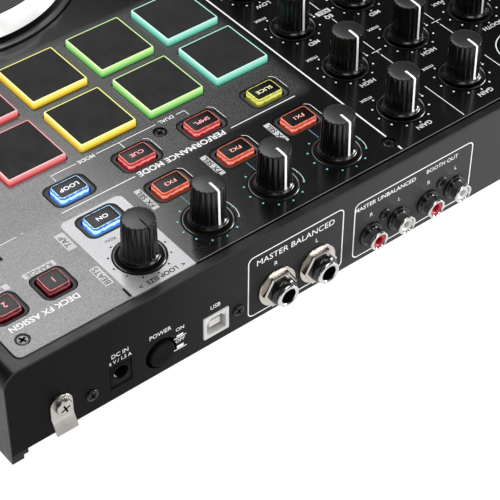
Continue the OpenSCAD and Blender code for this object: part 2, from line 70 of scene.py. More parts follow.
def onTop(node):  # where a control stands on the face plate
    spot = middle(node)
    return (spot.x, spot.y, plateTop)


print("frame loaded:", len(nodes), "nodes")


# camera, light, floor
view = {"place": (465.15, 544.70, 503.49), "turn": (46.324, -0.438, 141.353), "lens": 131.28}


def addCamera(s):
    camera = bpy.data.objects.new("camera", bpy.data.cameras.new("camera"))
    bpy.context.scene.collection.objects.link(camera)
    camera.location = Vector(s["place"]) / 1000
    camera.rotation_euler = [math.radians(a) for a in s["turn"]]
    camera.data.lens = s["lens"]
    camera.data.clip_start = 0.02
    bpy.context.scene.camera = camera


# name, direction from the object, distance, width, height, strength in watts, colour
softboxes = [
    ("frontSoftbox", (-0.1, -0.52, 0.85), 1.7, 1.05, 1.0, 23, (1, 1, 1)),
    ("topSoftbox", (-0.3, -0.12, 0.95), 1.5, 0.42, 1.5, 7, (1, 1, 1)),
    ("rearSoftbox", (-0.42, 0.66, 0.62), 1.5, 0.5, 0.28, 4, (1, 1, 1)),
    ("panelSoftbox", (-0.9, 0.5, 0.1), 0.6, 0.25, 0.1, 3.5, (1, 1, 1)),
    ("skirtSoftbox", (0.2, 0.45, 0.87), 1.5, 0.6, 0.45, 4.5, (1, 1, 1)),
]


lampAim = (0.12, 0.06, 0.04)  # metres; a point over the pads of the right deck


def addSoftbox(name, direction, distance, width, height, power, colour):
    lamp = bpy.data.lights.new(name, "AREA")
    lamp.shape = "RECTANGLE"
    lamp.size = width
    lamp.size_y = height
    lamp.energy = power
    lamp.color = colour
    made = bpy.data.objects.new(name, lamp)
    bpy.context.scene.collection.objects.link(made)
    aim = Vector(direction).normalized()
    made.location = Vector(lampAim) + aim * distance
    made.rotation_euler = aim.to_track_quat("Z", "Y").to_euler()


addCamera(view)
for box in softboxes:
    addSoftbox(*box)
bpy.context.scene.view_settings.view_transform = "Standard"


# shader writing
class Wire:  # a node socket that can be used in sums
    def __init__(self, finish, socket):
        self.finish = finish
        self.socket = socket

    def sum(self, operation, first, second):
        return self.finish.node("ShaderNodeMath", {"operation": operation}, {0: first, 1: second})

    def __add__(self, other):
        return self.sum("ADD", self, other)

    def __radd__(self, other):
        return self.sum("ADD", other, self)

    def __sub__(self, other):
        return self.sum("SUBTRACT", self, other)

    def __rsub__(self, other):
        return self.sum("SUBTRACT", other, self)

    def __mul__(self, other):
        return self.sum("MULTIPLY", self, other)

    def __rmul__(self, other):
        return self.sum("MULTIPLY", other, self)


class Finish:  # one material, written from the shader backwards
    def __init__(self, name, constants):
        self.material = bpy.data.materials.new(name)
        self.material.use_nodes = True
        self.tree = self.material.node_tree
        self.shader = self.tree.nodes["Principled BSDF"]
        for socketName, value in constants.items():
            self.shader.inputs[socketName].default_value = colour(value)

    def node(self, kind, settings=None, inputs=None, output=0):
        made = self.tree.nodes.new(kind)
        for name, value in (settings or {}).items():
            if name == "stops":
                self.fillRamp(made.color_ramp, value)
            else:
                setattr(made, name, value)
        for name, value in (inputs or {}).items():
            self.feed(made.inputs[name], value)
        return Wire(self, made.outputs[output])

    def fillRamp(self, ramp, stops):
        while len(ramp.elements) < len(stops):
            ramp.elements.new(0.5)
        for element, (place, value) in zip(ramp.elements, stops):
            element.position = place
            element.color = colour(value)

    def feed(self, socket, value):
        if isinstance(value, Wire):
            self.tree.links.new(value.socket, socket)
        else:
            socket.default_value = colour(value) if socket.type == "RGBA" else value

    def set(self, **inputs):  # Base_Color=... and so on
        for name, value in inputs.items():
            self.feed(self.shader.inputs[name.replace("_", " ")], value)
        return self

    def place(self):  # millimetres in the piece's own space
        spot = self.node("ShaderNodeTexCoord", output="Object")
        return self.node("ShaderNodeVectorMath", {"operation": "SCALE"}, {0: spot, "Scale": 1000.0})

    def axes(self):
        split = self.node("ShaderNodeSeparateXYZ", None, {0: self.place()})
        return [Wire(self, split.socket.node.outputs[i]) for i in range(3)]

    def noise(self, size, detail=2.0, rough=0.5, vector=None):
        return self.node("ShaderNodeTexNoise", None, {
            "Vector": vector or self.place(), "Scale": 1.0 / size, "Detail": detail, "Roughness": rough})

    def band(self, value, low, high, start=0.0, end=1.0):
        return self.node("ShaderNodeMapRange", {"interpolation_type": "SMOOTHSTEP"}, {
            0: value, 1: low, 2: high, 3: start, 4: end})

    def blend(self, share, first, second):
        return self.node("ShaderNodeMix", {"data_type": "RGBA"}, {0: share, 6: first, 7: second}, 2)

    def bump(self, height, depth, strength=1.0):
        return self.node("ShaderNodeBump", None, {
            "Height": height, "Distance": depth / 1000, "Strength": strength})

    def patch(self, centre, half, radius, soft):  # 1 inside a rounded box seen from above
        flat = self.node("ShaderNodeVectorMath", {"operation": "MULTIPLY"}, {0: self.place(), 1: (1, 1, 0)})
        off = self.node("ShaderNodeVectorMath", {"operation": "SUBTRACT"}, {0: flat, 1: (*centre, 0)})
        away = self.node("ShaderNodeVectorMath", {"operation": "ABSOLUTE"}, {0: off})
        past = self.node("ShaderNodeVectorMath", {"operation": "SUBTRACT"},
                         {0: away, 1: (half[0] - radius, half[1] - radius, 0)})
        kept = self.node("ShaderNodeVectorMath", {"operation": "MAXIMUM"}, {0: past, 1: (0, 0, 0)})
        far = self.node("ShaderNodeVectorMath", {"operation": "LENGTH"}, {0: kept}, "Value")
        return self.band(far, radius - soft, radius + soft, 1.0, 0.0)


def colour(value):
    if isinstance(value, tuple) and len(value) == 3:
        return (*value, 1.0)
    return value


def grey(v, tint=0.0):
    return (v, v, v * (1 + tint))


def dimmed(shade, share):
    return tuple(c * share for c in shade)


# a moulded or painted surface: colour with faint mottling, fine grain and handling marks; glow, where
# given, is painted light
def moulded(name, shade, rough, grain=0.35, depth=0.02, mottle=0.12, coat=0.0, level=0.5, metal=0.0,
            glow=0.0):
    made = Finish(name, {"Metallic": metal, "Coat Weight": coat, "Coat Roughness": 0.12,
                         "Specular IOR Level": level, "Emission Color": shade, "Emission Strength": glow})
    broad = made.noise(14.0, 3.0)
    fine = made.noise(grain, 2.0)
    lighter = tuple(min(1.0, c * (1 + mottle) + 0.002) for c in shade)
    darker = dimmed(shade, 1 - mottle)
    made.set(Base_Color=made.blend(made.band(broad * 0.7 + fine * 0.3, 0.35, 0.65), darker, lighter),
             Roughness=made.band(made.noise(5.0, 4.0), 0.3, 0.7, rough * 0.88, min(1.0, rough * 1.12)),
             Normal=made.bump(fine, depth))
    return made.material


# turned or plated metal, with fine lines round or along it and a little tarnish
def metalFinish(name, shade, rough, lines=0.25, depth=0.006):
    made = Finish(name, {"Metallic": 1.0})
    x, y, z = made.axes()
    stretched = made.node("ShaderNodeCombineXYZ", None, {0: x * 0.25, 1: y, 2: z * 0.25})
    brushed = made.noise(lines, 2.0, 0.5, stretched)
    stain = made.band(made.noise(5.0, 3.0), 0.4, 0.8)
    made.set(Base_Color=made.blend(stain, shade, dimmed(shade, 0.88)),
             Roughness=made.band(brushed, 0.2, 0.8, rough * 0.7, rough * 1.3),
             Normal=made.bump(brushed, depth))
    return made.material


# lit plastic: the colour runs from the foot (low) to the rim (high) of a wall
def litFinish(name, stops, low, high, strength, body, streak=0.25):
    made = Finish(name, {"Emission Strength": strength, "Roughness": 0.28, "Coat Weight": 0.4,
                         "Coat Roughness": 0.08})
    z = made.axes()[2]
    wander = made.noise(1.3, 2.0) - 0.5
    climb = made.band(z + wander * streak, low, high)
    climb.socket.node.interpolation_type = "LINEAR"
    made.set(Emission_Color=made.node("ShaderNodeValToRGB", {"stops": stops}, {0: climb}),
             Base_Color=made.blend(made.noise(0.6), dimmed(body, 0.2), dimmed(body, 0.14)),
             Normal=made.bump(made.noise(0.5), 0.01))
    return made.material


# printed ink; glow, where given, is painted light that brightens it
def inkFinish(name, shade, glow=0.0, wear=0.12):
    made = Finish(name, {"Emission Strength": glow, "Roughness": 0.55, "Emission Color": shade})
    wearAndPaintedLight = made.band(made.noise(0.9, 4.0), 0.55, 0.8)
    made.set(Base_Color=made.blend(wearAndPaintedLight * wear, shade, dimmed(shade, 0.35)),
             Normal=made.bump(made.noise(0.2), 0.004))
    return made.material


print("shader tools ready")


# mesh writing
sharpCorner = 32  # degrees; a bend past this is an edge in the shading


class Solid:  # points, faces and the finish number of each face
    def __init__(self):
        self.points = []
        self.faces = []
        self.looks = []

    def add(self, points, faces, looks):
        start = len(self.points)
        self.points += [tuple(p) for p in points]
        self.faces += [[start + i for i in f] for f in faces]
        self.looks += looks if isinstance(looks, list) else [looks] * len(faces)
        return self

    def loft(self, loops, looks=0, ring=False):  # skins closed loops of equal length, capped unless ring
        count = len(loops[0])
        bands = len(loops) if ring else len(loops) - 1
        each = looks if isinstance(looks, list) else [looks] * bands
        points = [p for loop in loops for p in loop]
        faces = []
        used = []
        for b in range(bands):
            low = b * count
            high = ((b + 1) % len(loops)) * count
            for i in range(count):
                j = (i + 1) % count
                faces.append([low + i, low + j, high + j, high + i])
                used.append(each[b])
        if not ring:
            faces.append(list(range(count))[::-1])
            used.append(each[0])
            faces.append([(len(loops) - 1) * count + i for i in range(count)])
            used.append(each[-1])
        return self.add(points, faces, used)

    def merge(self, other, matrix=None, look=None):
        points = [matrix @ Vector(p) for p in other.points] if matrix else other.points
        return self.add(points, other.faces, list(other.looks) if look is None else look)

    def make(self, name, finishes, body, at=(0, 0, 0), slot=None, stands=()):
        mesh = bpy.data.meshes.new(name)
        mesh.from_pydata([(x / 1000, y / 1000, z / 1000) for x, y, z in self.points], [], self.faces)
        for finish in finishes:
            mesh.materials.append(finish)
        mesh.polygons.foreach_set("material_index", self.looks)
        mesh.shade_smooth()
        mesh.set_sharp_from_angle(angle=math.radians(sharpCorner))
        mesh.update()
        return seat(name, mesh, body, at, stands)


def seat(name, mesh, body, at=(0, 0, 0), stands=()):
    made = bpy.data.objects.new(name, mesh)
    bpy.context.scene.collection.objects.link(made)
    made.location = Vector(at) / 1000
    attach(made, body)
    if stands:
        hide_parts(*stands)
    return made


def circle(radius, z, count=64):
    return [(radius * math.cos(2 * math.pi * i / count), radius * math.sin(2 * math.pi * i / count), z)
            for i in range(count)]


def rounded(w, d, r, z, steps=5):  # a rounded rectangle, anticlockwise from its right side
    loop = []
    for k, (sx, sy) in enumerate(((1, 1), (-1, 1), (-1, -1), (1, -1))):
        for i in range(steps + 1):
            a = math.pi / 2 * (k + i / steps)
            loop.append((sx * (w / 2 - r) + r * math.cos(a), sy * (d / 2 - r) + r * math.sin(a), z))
    return loop


def shifted(x=0.0, y=0.0, z=0.0):
    return Matrix.Translation((x, y, z))


def spun(degrees, axis="Z"):
    return Matrix.Rotation(math.radians(degrees), 4, axis)


def widened(share):
    return Matrix.Diagonal((share, 1, 1, 1))


def toRear(x, z):  # stands a piece made along +Z on the rear panel, pointing out
    return shifted(x, panelFace, z) @ spun(-90, "X")


def turned(profile, count=64, looks=0):  # a solid of revolution from (radius, height) pairs
    return Solid().loft([circle(r, z, count) for r, z in profile], looks)


def turnedRing(profile, count=64, looks=0):
    return Solid().loft([circle(r, z, count) for r, z in profile], looks, ring=True)


def block(x0, x1, y0, y1, z0, z1, look=0):
    return Solid().loft([[(x0, y0, z), (x1, y0, z), (x1, y1, z), (x0, y1, z)] for z in (z0, z1)], look)


def ribbon(path, width, low, high, look=0, closed=False):  # a flat printed line along points in a plane
    loops = []
    last = len(path) - 1
    for i, p in enumerate(path):
        before = Vector(path[i - 1] if i or closed else p)
        after = Vector(path[(i + 1) % len(path)] if i < last or closed else p)
        along = (after - before).normalized()
        side = Vector((-along.y, along.x)) * width / 2
        a = Vector(p) + side
        b = Vector(p) - side
        loops.append([(a.x, a.y, low), (b.x, b.y, low), (b.x, b.y, high), (a.x, a.y, high)])
    return Solid().loft(loops, look, ring=closed)


def arc(cx, cy, r, a0, a1, steps=10):
    return [(cx + r * math.cos(math.radians(a0 + (a1 - a0) * i / steps)),
             cy + r * math.sin(math.radians(a0 + (a1 - a0) * i / steps))) for i in range(steps + 1)]


lettered = {}


def letters(text, size, weight=0.0, deep=0.04):  # solid letters, centred, facing up
    key = (text, size, weight, deep)
    if key not in lettered:
        curve = bpy.data.curves.new("letters", "FONT")
        curve.body = text
        curve.size = size
        curve.align_x = "CENTER"
        curve.align_y = "CENTER"
        curve.resolution_u = 3
        curve.extrude = deep
        curve.offset = weight
        made = bpy.data.objects.new("letters", curve)
        bpy.context.scene.collection.objects.link(made)
        bpy.context.view_layer.update()
        mesh = bpy.data.meshes.new_from_object(made.evaluated_get(bpy.context.evaluated_depsgraph_get()))
        solid = Solid().add([v.co[:] for v in mesh.vertices], [list(p.vertices) for p in mesh.polygons], 0)
        lettered[key] = solid
        bpy.data.objects.remove(made)
        bpy.data.curves.remove(curve)
        bpy.data.meshes.remove(mesh)
    return lettered[key]


# finishes
# the inks glow a little: painted light that lifts the print on the dark plate
white = inkFinish("whiteInk", (0.7, 0.71, 0.72), 0.22)
greyInk = moulded("greyInk", grey(0.1), 0.7, 0.3, 0.004, level=0.1)
paleBlueInk = inkFinish("paleBlueInk", (0.16, 0.5, 0.62), 0.15)
dullBlueInk = inkFinish("dullBlueInk", (0.09, 0.2, 0.28), 0.15)
# black print, also used for painted shadows on the plate
blackInkAndShadow = moulded("blackInkAndShadow", grey(0.006), 0.8, 0.3, 0.004, level=0.05)
labelInk = inkFinish("labelInk", (0.5, 0.5, 0.51), 0.12)
# painted highlight for light caught on the plate's rear edge
paintedEdgeHighlight = inkFinish("paintedEdgeHighlight", (0.12, 0.12, 0.12), 0.5)
shellPlastic = moulded("shellPlastic", grey(0.005, 0.05), 0.3, 0.3, 0.008, level=0.17)
basePaint = moulded("basePaint", grey(0.011), 0.5, 0.4, 0.03)
rubber = moulded("rubber", grey(0.016), 0.85, 0.5, 0.06)
bezelPlastic = moulded("bezelPlastic", grey(0.042, 0.1), 0.42, 0.3, 0.01, level=0.2)
bezelEdge = moulded("bezelEdge", grey(0.003), 0.4, 0.3, 0.01, level=0.15)
# painted light: the blue caps' spill glowing on the bezel wall round them
blueGlow = inkFinish("blueGlow", (0.01, 0.025, 0.3), 0.35, 0.0)
collarPlastic = moulded("collarPlastic", grey(0.005), 0.22, 0.4, 0.006, level=0.5)
knobPlastic = moulded("knobPlastic", grey(0.003), 0.22, 0.5, 0.002, level=0.45)
knobTop = moulded("knobTop", grey(0.0045), 0.34, 0.3, 0.006, level=0.33)
encoderGrey = moulded("encoderGrey", grey(0.16), 0.34, 0.3, 0.012)
# the pointer paint glows a little: painted light
pointerPaint = inkFinish("pointerPaint", (0.78, 0.78, 0.79), 0.25, 0.05)
# painted shade: near-black matte standing in for the shade in grooves, drive slots, pin holes and the ends
# of bores
paintedRecessShade = moulded("paintedRecessShade", grey(0.002), 0.8, 0.3, 0.01, level=0.05)
padRubber = moulded("padRubber", grey(0.014), 0.6, 0.18, 0.02, 0.1, level=0.12)
capTop = moulded("capTop", (0.0045, 0.0025, 0.0028), 0.24, 0.5, 0.003, level=0.14)
nickel = metalFinish("nickel", (0.54, 0.505, 0.46), 0.2, 0.4, 0.0015)
chrome = metalFinish("chrome", (0.62, 0.61, 0.6), 0.14, 0.4, 0.0015)
zinc = metalFinish("zinc", (0.5, 0.48, 0.45), 0.32, 0.4, 0.012)
blackSteel = moulded("blackSteel", grey(0.003), 0.26, 0.3, 0.01, level=0.3)
screwGrey = moulded("screwGrey", grey(0.1), 0.3, 0.3, 0.02, metal=0.4)
socketPlastic = moulded("socketPlastic", grey(0.004), 0.18, 0.3, 0.004, level=0.5)
socketCream = moulded("socketCream", (0.6, 0.59, 0.565), 0.35, 0.5, 0.006, 0.05)
powerPlastic = moulded("powerPlastic", grey(0.0025), 0.3, 0.4, 0.004, level=0.03)
contactBrass = metalFinish("contactBrass", (0.75, 0.6, 0.32), 0.25)
phonoRed = moulded("phonoRed", (0.42, 0.012, 0.025), 0.3, 0.4, 0.02)
phonoWhite = moulded("phonoWhite", (0.66, 0.66, 0.64), 0.3, 0.4, 0.02)
faderPlastic = moulded("faderPlastic", grey(0.008), 0.34, 0.35, 0.02, level=0.6)
# painted light: the white jog rim glows so that it reads overexposed
jogWhite = moulded("jogWhite", (0.86, 0.86, 0.87), 0.24, 0.5, 0.004, 0.02, coat=0.4, glow=0.5)
jogSatin = metalFinish("jogSatin", (0.06, 0.06, 0.061), 0.34, 0.3, 0.002)
jogRingDark = moulded("jogRingDark", grey(0.012), 0.36, 0.3, 0.008, level=0.3)
jogBlack = moulded("jogBlack", grey(0.01), 0.34, 0.3, 0.02)
boardGreen = moulded("boardGreen", (0.01, 0.07, 0.03), 0.4, 0.8, 0.02, 0.4)


# the printed face plate: pad weave, effect speckle, pale loop field, bright dust speckle with a painted
# reflection at the deck's outer corner
plateLook = {
    "dark": grey(0.003, 0.03), "weaveLight": grey(0.12), "weavePitch": (0.95, 0.95),
    "speckLight": grey(0.06, 0.05), "loopField": (0.36, 0.36, 0.37), "dustAndSheen": (0.24, 0.24, 0.245),
    "weave": ((166.0, 71.9), (79.0, 43.8)), "effects": ((186.0, 143.0), (30.0, 27.6)),
    "loop": ((197.4, 148.3), (13.8, 28.2)), "corner": ((241.0, 118.0), (52.0, 60.0)),
    "beyond": ((150.0, 143.5), (34.0, 27.0)),
}


def facePlateFinish(s):
    made = Finish("platePrint", {"Specular IOR Level": 0.45})
    x, y = made.axes()[:2]

    def onDecks(centre, half, radius, soft):
        right = made.patch(centre, half, radius, soft)
        left = made.patch((centre[0] + deckStep, centre[1]), half, radius, soft)
        return right.sum("MAXIMUM", right, left)

    weaveZone = onDecks(*s["weave"], 4.0, 3.5)
    speckZone = onDecks(*s["effects"], 14.0, 12.0)
    loopZone = onDecks(*s["loop"], 2.6, 0.12)
    cornerCut = onDecks(*s["beyond"], 2.0, 1.2)
    # painted reflection: the bright corner patch is partly dust speckle and partly painted sheen, cut back
    # over the effects area
    cornerSheenZone = onDecks(*s["corner"], 20.0, 17.0) * (1.0 - cornerCut * 0.85)
    px, py = s["weavePitch"]
    warp = made.node("ShaderNodeMath", {"operation": "SINE"}, {
        0: x * (2 * math.pi / px) + made.noise(6.0) * 2})
    weft = made.node("ShaderNodeMath", {"operation": "SINE"}, {
        0: y * (2 * math.pi / py) + made.noise(5.0) * 2})
    cloth = made.band(warp.sum("MINIMUM", warp, weft) + (made.noise(0.9) - 0.5) * 0.5, 0.05, 0.35)
    speck = made.band(made.noise(0.32, 3.0, 0.7), 0.53, 0.66)
    dustAndSheen = made.band(made.noise(0.55, 3.0, 0.7), 0.42, 0.6)
    base = made.blend(made.band(made.noise(0.5), 0.5, 0.75) * 0.3, s["dark"], grey(0.009))
    base = made.blend(cloth * weaveZone * 0.9, base, s["weaveLight"])
    base = made.blend(speck * speckZone * 0.7, base, s["speckLight"])
    base = made.blend(cornerSheenZone * (0.45 + dustAndSheen * 0.4), base, s["dustAndSheen"])
    loopTone = made.blend(made.noise(0.5, 3.0), s["loopField"], dimmed(s["loopField"], 0.78))
    base = made.blend(loopZone, base, loopTone)
    gloss = made.band(made.noise(0.7, 3.0), 0.3, 0.7, 0.15, 0.19)
    made.set(Base_Color=base,
             Metallic=loopZone * 0.25,
             Roughness=gloss + weaveZone * 0.1 + cornerSheenZone * 0.12,
             Normal=made.bump(made.noise(0.4) * (0.2 + cornerSheenZone * 0.6) + cloth * weaveZone * 0.5, 0.012))
    return made.material


platePrint = facePlateFinish(plateLook)

# painted light: the panel colour runs from near black at x 235 to charcoal at x 70
panelLook = {"ink": grey(0.0025), "wearAndPaintedLight": grey(0.045, 0.02), "from": 70.0, "to": 235.0}


def panelFinish(s):  # satin black coat; painted light makes it paler toward the middle of the panel
    made = Finish("panelPaint", {"Specular IOR Level": 0.05})
    x = made.axes()[0]
    paintedLightShare = made.band(x + (made.noise(30.0, 2.0) - 0.5) * 12, s["from"], s["to"], 1.0, 0.0)
    made.set(Base_Color=made.blend(paintedLightShare * (0.85 + made.noise(0.3) * 0.3), s["ink"], s["wearAndPaintedLight"]),
             Roughness=made.band(made.noise(5.0, 4.0), 0.3, 0.7, 0.34, 0.44),
             Normal=made.bump(made.noise(0.25), 0.006))
    return made.material


panelPaint = panelFinish(panelLook)

pads = {  # colours up the walls, from the foot (0) to the rim (1)
    "red": [(0, (0.42, 0.04, 0.04)), (0.35, (0.8, 0.15, 0.15)), (1, (0.95, 0.4, 0.41))],
    "yellow": [(0, (0.8, 0.42, 0.01)), (0.3, (0.92, 0.8, 0.07)), (1, (1.0, 0.98, 0.33))],
    "green": [(0, (0.12, 0.5, 0.1)), (0.35, (0.34, 0.78, 0.22)), (1, (0.7, 0.97, 0.42))],
    "teal": [(0, (0.08, 0.45, 0.34)), (0.35, (0.25, 0.72, 0.58)), (1, (0.52, 0.93, 0.8))],
}
caps = {  # the same for the button caps, and how brightly each glows
    "blue": ([(0, (0.05, 0.2, 0.7)), (0.12, (0.4, 0.85, 0.95)), (0.5, (0.85, 1.0, 1.0)),
              (0.6, (0.35, 0.75, 1.0)), (0.72, (0.04, 0.1, 0.5)),
              (0.88, (0.02, 0.05, 0.35)), (1, (0.3, 0.65, 1.0))], 1.1),
    "red": ([(0, (0.2, 0.01, 0.01)), (0.2, (0.7, 0.1, 0.1)), (0.42, (0.95, 0.45, 0.42)),
             (0.58, (0.6, 0.06, 0.06)), (0.8, (0.3, 0.015, 0.015)), (1, (0.85, 0.1, 0.09))], 1.0),
    "orange": ([(0, (0.25, 0.02, 0.0)), (0.2, (0.75, 0.15, 0.1)), (0.42, (0.98, 0.48, 0.48)),
                (0.58, (0.7, 0.1, 0.06)), (0.8, (0.4, 0.03, 0.01)), (1, (0.95, 0.17, 0.06))], 1.0),
    "yellow": ([(0, (0.2, 0.18, 0.01)), (0.25, (0.7, 0.72, 0.1)), (0.5, (0.95, 1.0, 0.45)),
                (0.72, (0.5, 0.5, 0.04)), (0.86, (0.4, 0.4, 0.02)), (1, (0.85, 0.88, 0.12))], 0.9),
    "smoke": ([(0, (0.02, 0.0, 0.0)), (0.25, (0.2, 0.01, 0.02)), (0.45, (0.45, 0.2, 0.22)),
               (0.6, (0.06, 0.01, 0.01)), (0.84, (0.1, 0.0, 0.005)), (1, (0.65, 0.05, 0.08))], 0.75),
    "white": ([(0, (0.1, 0.1, 0.1)), (0.5, (0.3, 0.3, 0.3)), (1, (0.5, 0.5, 0.5))], 0.5),
}
legendTint = {"blue": (0.8, 0.9, 1.0), "red": (0.8, 0.32, 0.32), "orange": (0.75, 0.36, 0.3),
              "yellow": (0.7, 0.7, 0.4), "smoke": (0.85, 0.3, 0.34), "white": (0.6, 0.6, 0.6)}
padLit = {n: litFinish(n + "PadWall", stops, 0.0, 2.4, 0.9, stops[1][1], 0.1) for n, stops in pads.items()}
capLit = {n: litFinish(n + "CapWall", stops, -0.5, 1.95, power, stops[1][1], 1.9)
          for n, (stops, power) in caps.items()}
legendLit = {n: inkFinish(n + "Legend", tint, 0.8, 0.0) for n, tint in legendTint.items()}
print("finishes ready")


# knobs
knobLook = {"flutes": 18, "groove": 0.42, "foot": 7.8, "lift": 0.6, "shoulder": 6.85, "head": 6.45,
            "tall": top("fx_knob_2").z - plateTop - 0.02, "pointer": 0.95, "pointerFrom": 1.0}


def knobProfile(s):
    f, m, h, t, u = s["foot"], s["shoulder"], s["head"], s["tall"], s["lift"]
    skirt = [(3.0, u), (f - 0.3, u), (f, u + 0.2), (f, u + 0.45), (f - 0.08, u + 0.6), (f - 0.3, u + 0.8),
             (f - 0.52, u + 1.0), (f - 0.74, u + 1.2), (m + 0.06, u + 1.4), (m, u + 1.9)]
    low = u + 1.9
    rise = [(m + (h - m) * k / 5, low + (t - 1.1 - low) * k / 5) for k in range(1, 6)]
    crown = [(h - 0.02, t - 0.9), (h - 0.06, t - 0.7), (h - 0.18, t - 0.52), (h - 0.42, t - 0.38),
             (h - 0.8, t - 0.3), (h - 1.6, t - 0.21), (h - 2.8, t - 0.11), (2.2, t - 0.03), (0.6, t)]
    return skirt, rise, crown


def knobSolid(s, count=216, pointerWidth=None):
    skirt, rise, crown = knobProfile(s)
    solid = Solid()
    loops = []
    for r, z in skirt + rise + crown:
        share = 0.0
        if skirt[-1][1] <= z <= s["tall"] - 0.35:
            share = 1.0 if z < s["tall"] - 0.6 else 0.6
        loop = []
        for i in range(count):
            a = 2 * math.pi * i / count + math.pi / 2
            wave = 0.5 - 0.5 * math.cos((a - math.pi / 2) * s["flutes"])
            cut = s["groove"] * share * wave ** 2.2
            loop.append(((r - cut) * math.cos(a), (r - cut) * math.sin(a), z))
        loops.append(loop)
    first = len(skirt) + len(rise)
    looks = [0] * first + [1] * (len(loops) - 1 - first)
    looks[first - 1] = 0
    solid.loft(loops, looks)
    path = [(r, z) for r, z in skirt[-2:] + rise + crown if r >= s["pointerFrom"]]
    path.append((s["pointerFrom"], s["tall"]))
    half = (pointerWidth or s["pointer"]) / 2
    strips = []
    for i, (r, z) in enumerate(path):
        before = Vector(path[max(i - 1, 0)])
        after = Vector(path[min(i + 1, len(path) - 1)])
        along = (after - before).normalized()
        out = Vector((along.y, -along.x))
        lift = Vector((r, z)) + out * 0.07
        sunk = Vector((r, z)) - out * 0.25
        lift.y = min(lift.y, s["tall"])
        strips.append([(-half, lift.x, lift.y), (half, lift.x, lift.y), (half, sunk.x, sunk.y),
                       (-half, sunk.x, sunk.y)])
    solid.loft(strips, 2)
    return solid


def knobMesh(name, solid, finishes):
    piece = solid.make(name, finishes, "chassis")
    mesh = piece.data
    bpy.data.objects.remove(piece)
    return mesh


knobPart = knobSolid(knobLook)
encoderPart = knobSolid(knobLook, pointerWidth=0.5)
potMesh = knobMesh("potKnob", knobPart, [knobPlastic, knobTop, pointerPaint])
for node in knobAt:
    if node not in ("loop_encoder", "browse_encoder"):
        seat(node + "_cap", potMesh, node, onTop(node), [node])
encoderMesh = knobMesh("encoderKnob", encoderPart, [knobPlastic, knobTop, paintedRecessShade])
seat("loop_encoder_cap", encoderMesh, "loop_encoder", onTop("loop_encoder"), ["loop_encoder"])
browseMesh = knobMesh("browseKnob", encoderPart, [encoderGrey, encoderGrey, paintedRecessShade])
seat("browse_encoder_cap", browseMesh, "browse_encoder", onTop("browse_encoder"),
     ["browse_encoder"])

effectSpots = [(knobAt[n].x, knobAt[n].y) for n in ("loop_encoder", "fx_knob_2", "fx_knob_3", "fx_knob_4")]
leftSpots = [(x + deckStep, y) for x, y in effectSpots]
mixColumns = [-2 * columnStep, -columnStep, columnStep, 2 * columnStep]
mixRows = [knobAt["gain_knob_4"].y - rowStep * j for j in range(5)]
mixSpots = [(x, y) for x in mixColumns for y in mixRows]
boothY = knobAt["booth_knob"].y
centreSpots = [(0.0, knobAt["browse_encoder"].y)] + [(0.0, boothY - rowStep * j) for j in range(4)]
allSpots = effectSpots + leftSpots + mixSpots + centreSpots
movingSpots = [(v.x, v.y) for v in knobAt.values()]
fixedSpots = [p for p in allSpots if min(math.dist(p, m) for m in movingSpots) > 1]
fixedKnobs = Solid()
fixedEncoder = Solid()
smallPart = knobSolid(knobLook, 108)
for x, y in fixedSpots:
    if math.dist((x, y), leftSpots[0]) < 1:
        fixedEncoder.merge(encoderPart, shifted(x, y))
    else:
        fixedKnobs.merge(smallPart, shifted(x, y))
fixedKnobs.make("fixed_knobs", [knobPlastic, knobTop, pointerPaint], "chassis", origin, "knob",
                ["knobs_joined"])
fixedEncoder.make("fixed_encoder", [knobPlastic, knobTop, paintedRecessShade], "chassis", origin, "knob")

collarLook = [(4.2, -2.2), (9.6, -2.2), (9.8, -0.4), (9.8, 0.12), (9.7, 0.26), (9.45, 0.3), (9.1, 0.26),
              (8.75, 0.05), (8.45, -0.25), (8.35, -1.5), (4.2, -1.6)]
collars = Solid()
for x, y in allSpots:
    collars.merge(turnedRing(collarLook, 72), shifted(x, y))
collars.make("collar_rings", [collarPlastic], "chassis", origin, "collar", ["knob_collars"])
print("knobs and collars done")


# pads
padLook = {"side": 26.2, "top": 24.7, "up": 2.6, "corner": 0.75, "foot": -9.0}


def padSolid(s):
    a, t, r, up = s["side"], s["top"], s["corner"], s["up"]
    loops = [rounded(a, a, r, s["foot"]), rounded(a, a, r, 0.0), rounded(a - 0.06, a - 0.06, r, up * 0.5),
             rounded(a - 0.14, a - 0.14, r, up - 0.25), rounded(a - 0.3, a - 0.3, r, up - 0.06),
             rounded(a - 0.6, a - 0.6, r - 0.1, up), rounded(t + 0.1, t + 0.1, 0.4, up),
             rounded(t, t, 0.4, up - 0.16), rounded(t - 0.12, t - 0.12, 0.4, up - 0.16),
             rounded(t - 0.3, t - 0.3, 0.4, up - 0.02), rounded(t - 0.8, t - 0.8, 0.3, up)]
    return Solid().loft(loops, [0] * 6 + [1] * 4)


padPart = padSolid(padLook)
padColours = ["red", "yellow", "green", "teal"]
padSpots = {}
for row in ("rear", "front"):
    for i, tint in enumerate(padColours):
        node = f"pad_{row}_{i + 1}"
        padSpots[node] = onTop(node)
        padPart.make(node + "_top", [padLit[tint], padRubber], node, onTop(node), "pad_" + tint, [node])
for i, tint in enumerate(padColours):
    pair = Solid()
    for row in ("rear", "front"):
        x, y, z = padSpots[f"pad_{row}_{i + 1}"]
        pair.merge(padPart, shifted(x + deckStep, y))
    pair.make(f"pads_left_{tint}", [padLit[tint], padRubber], "pads_left", origin, "pad_" + tint,
              ["pads_left"] if i == 0 else [])
print("pads done")


# buttons
capLook = {"wide": (12.8, 8.6), "square": (9.4, 9.4), "up": 2.0, "corner": 1.3, "foot": -9.0}


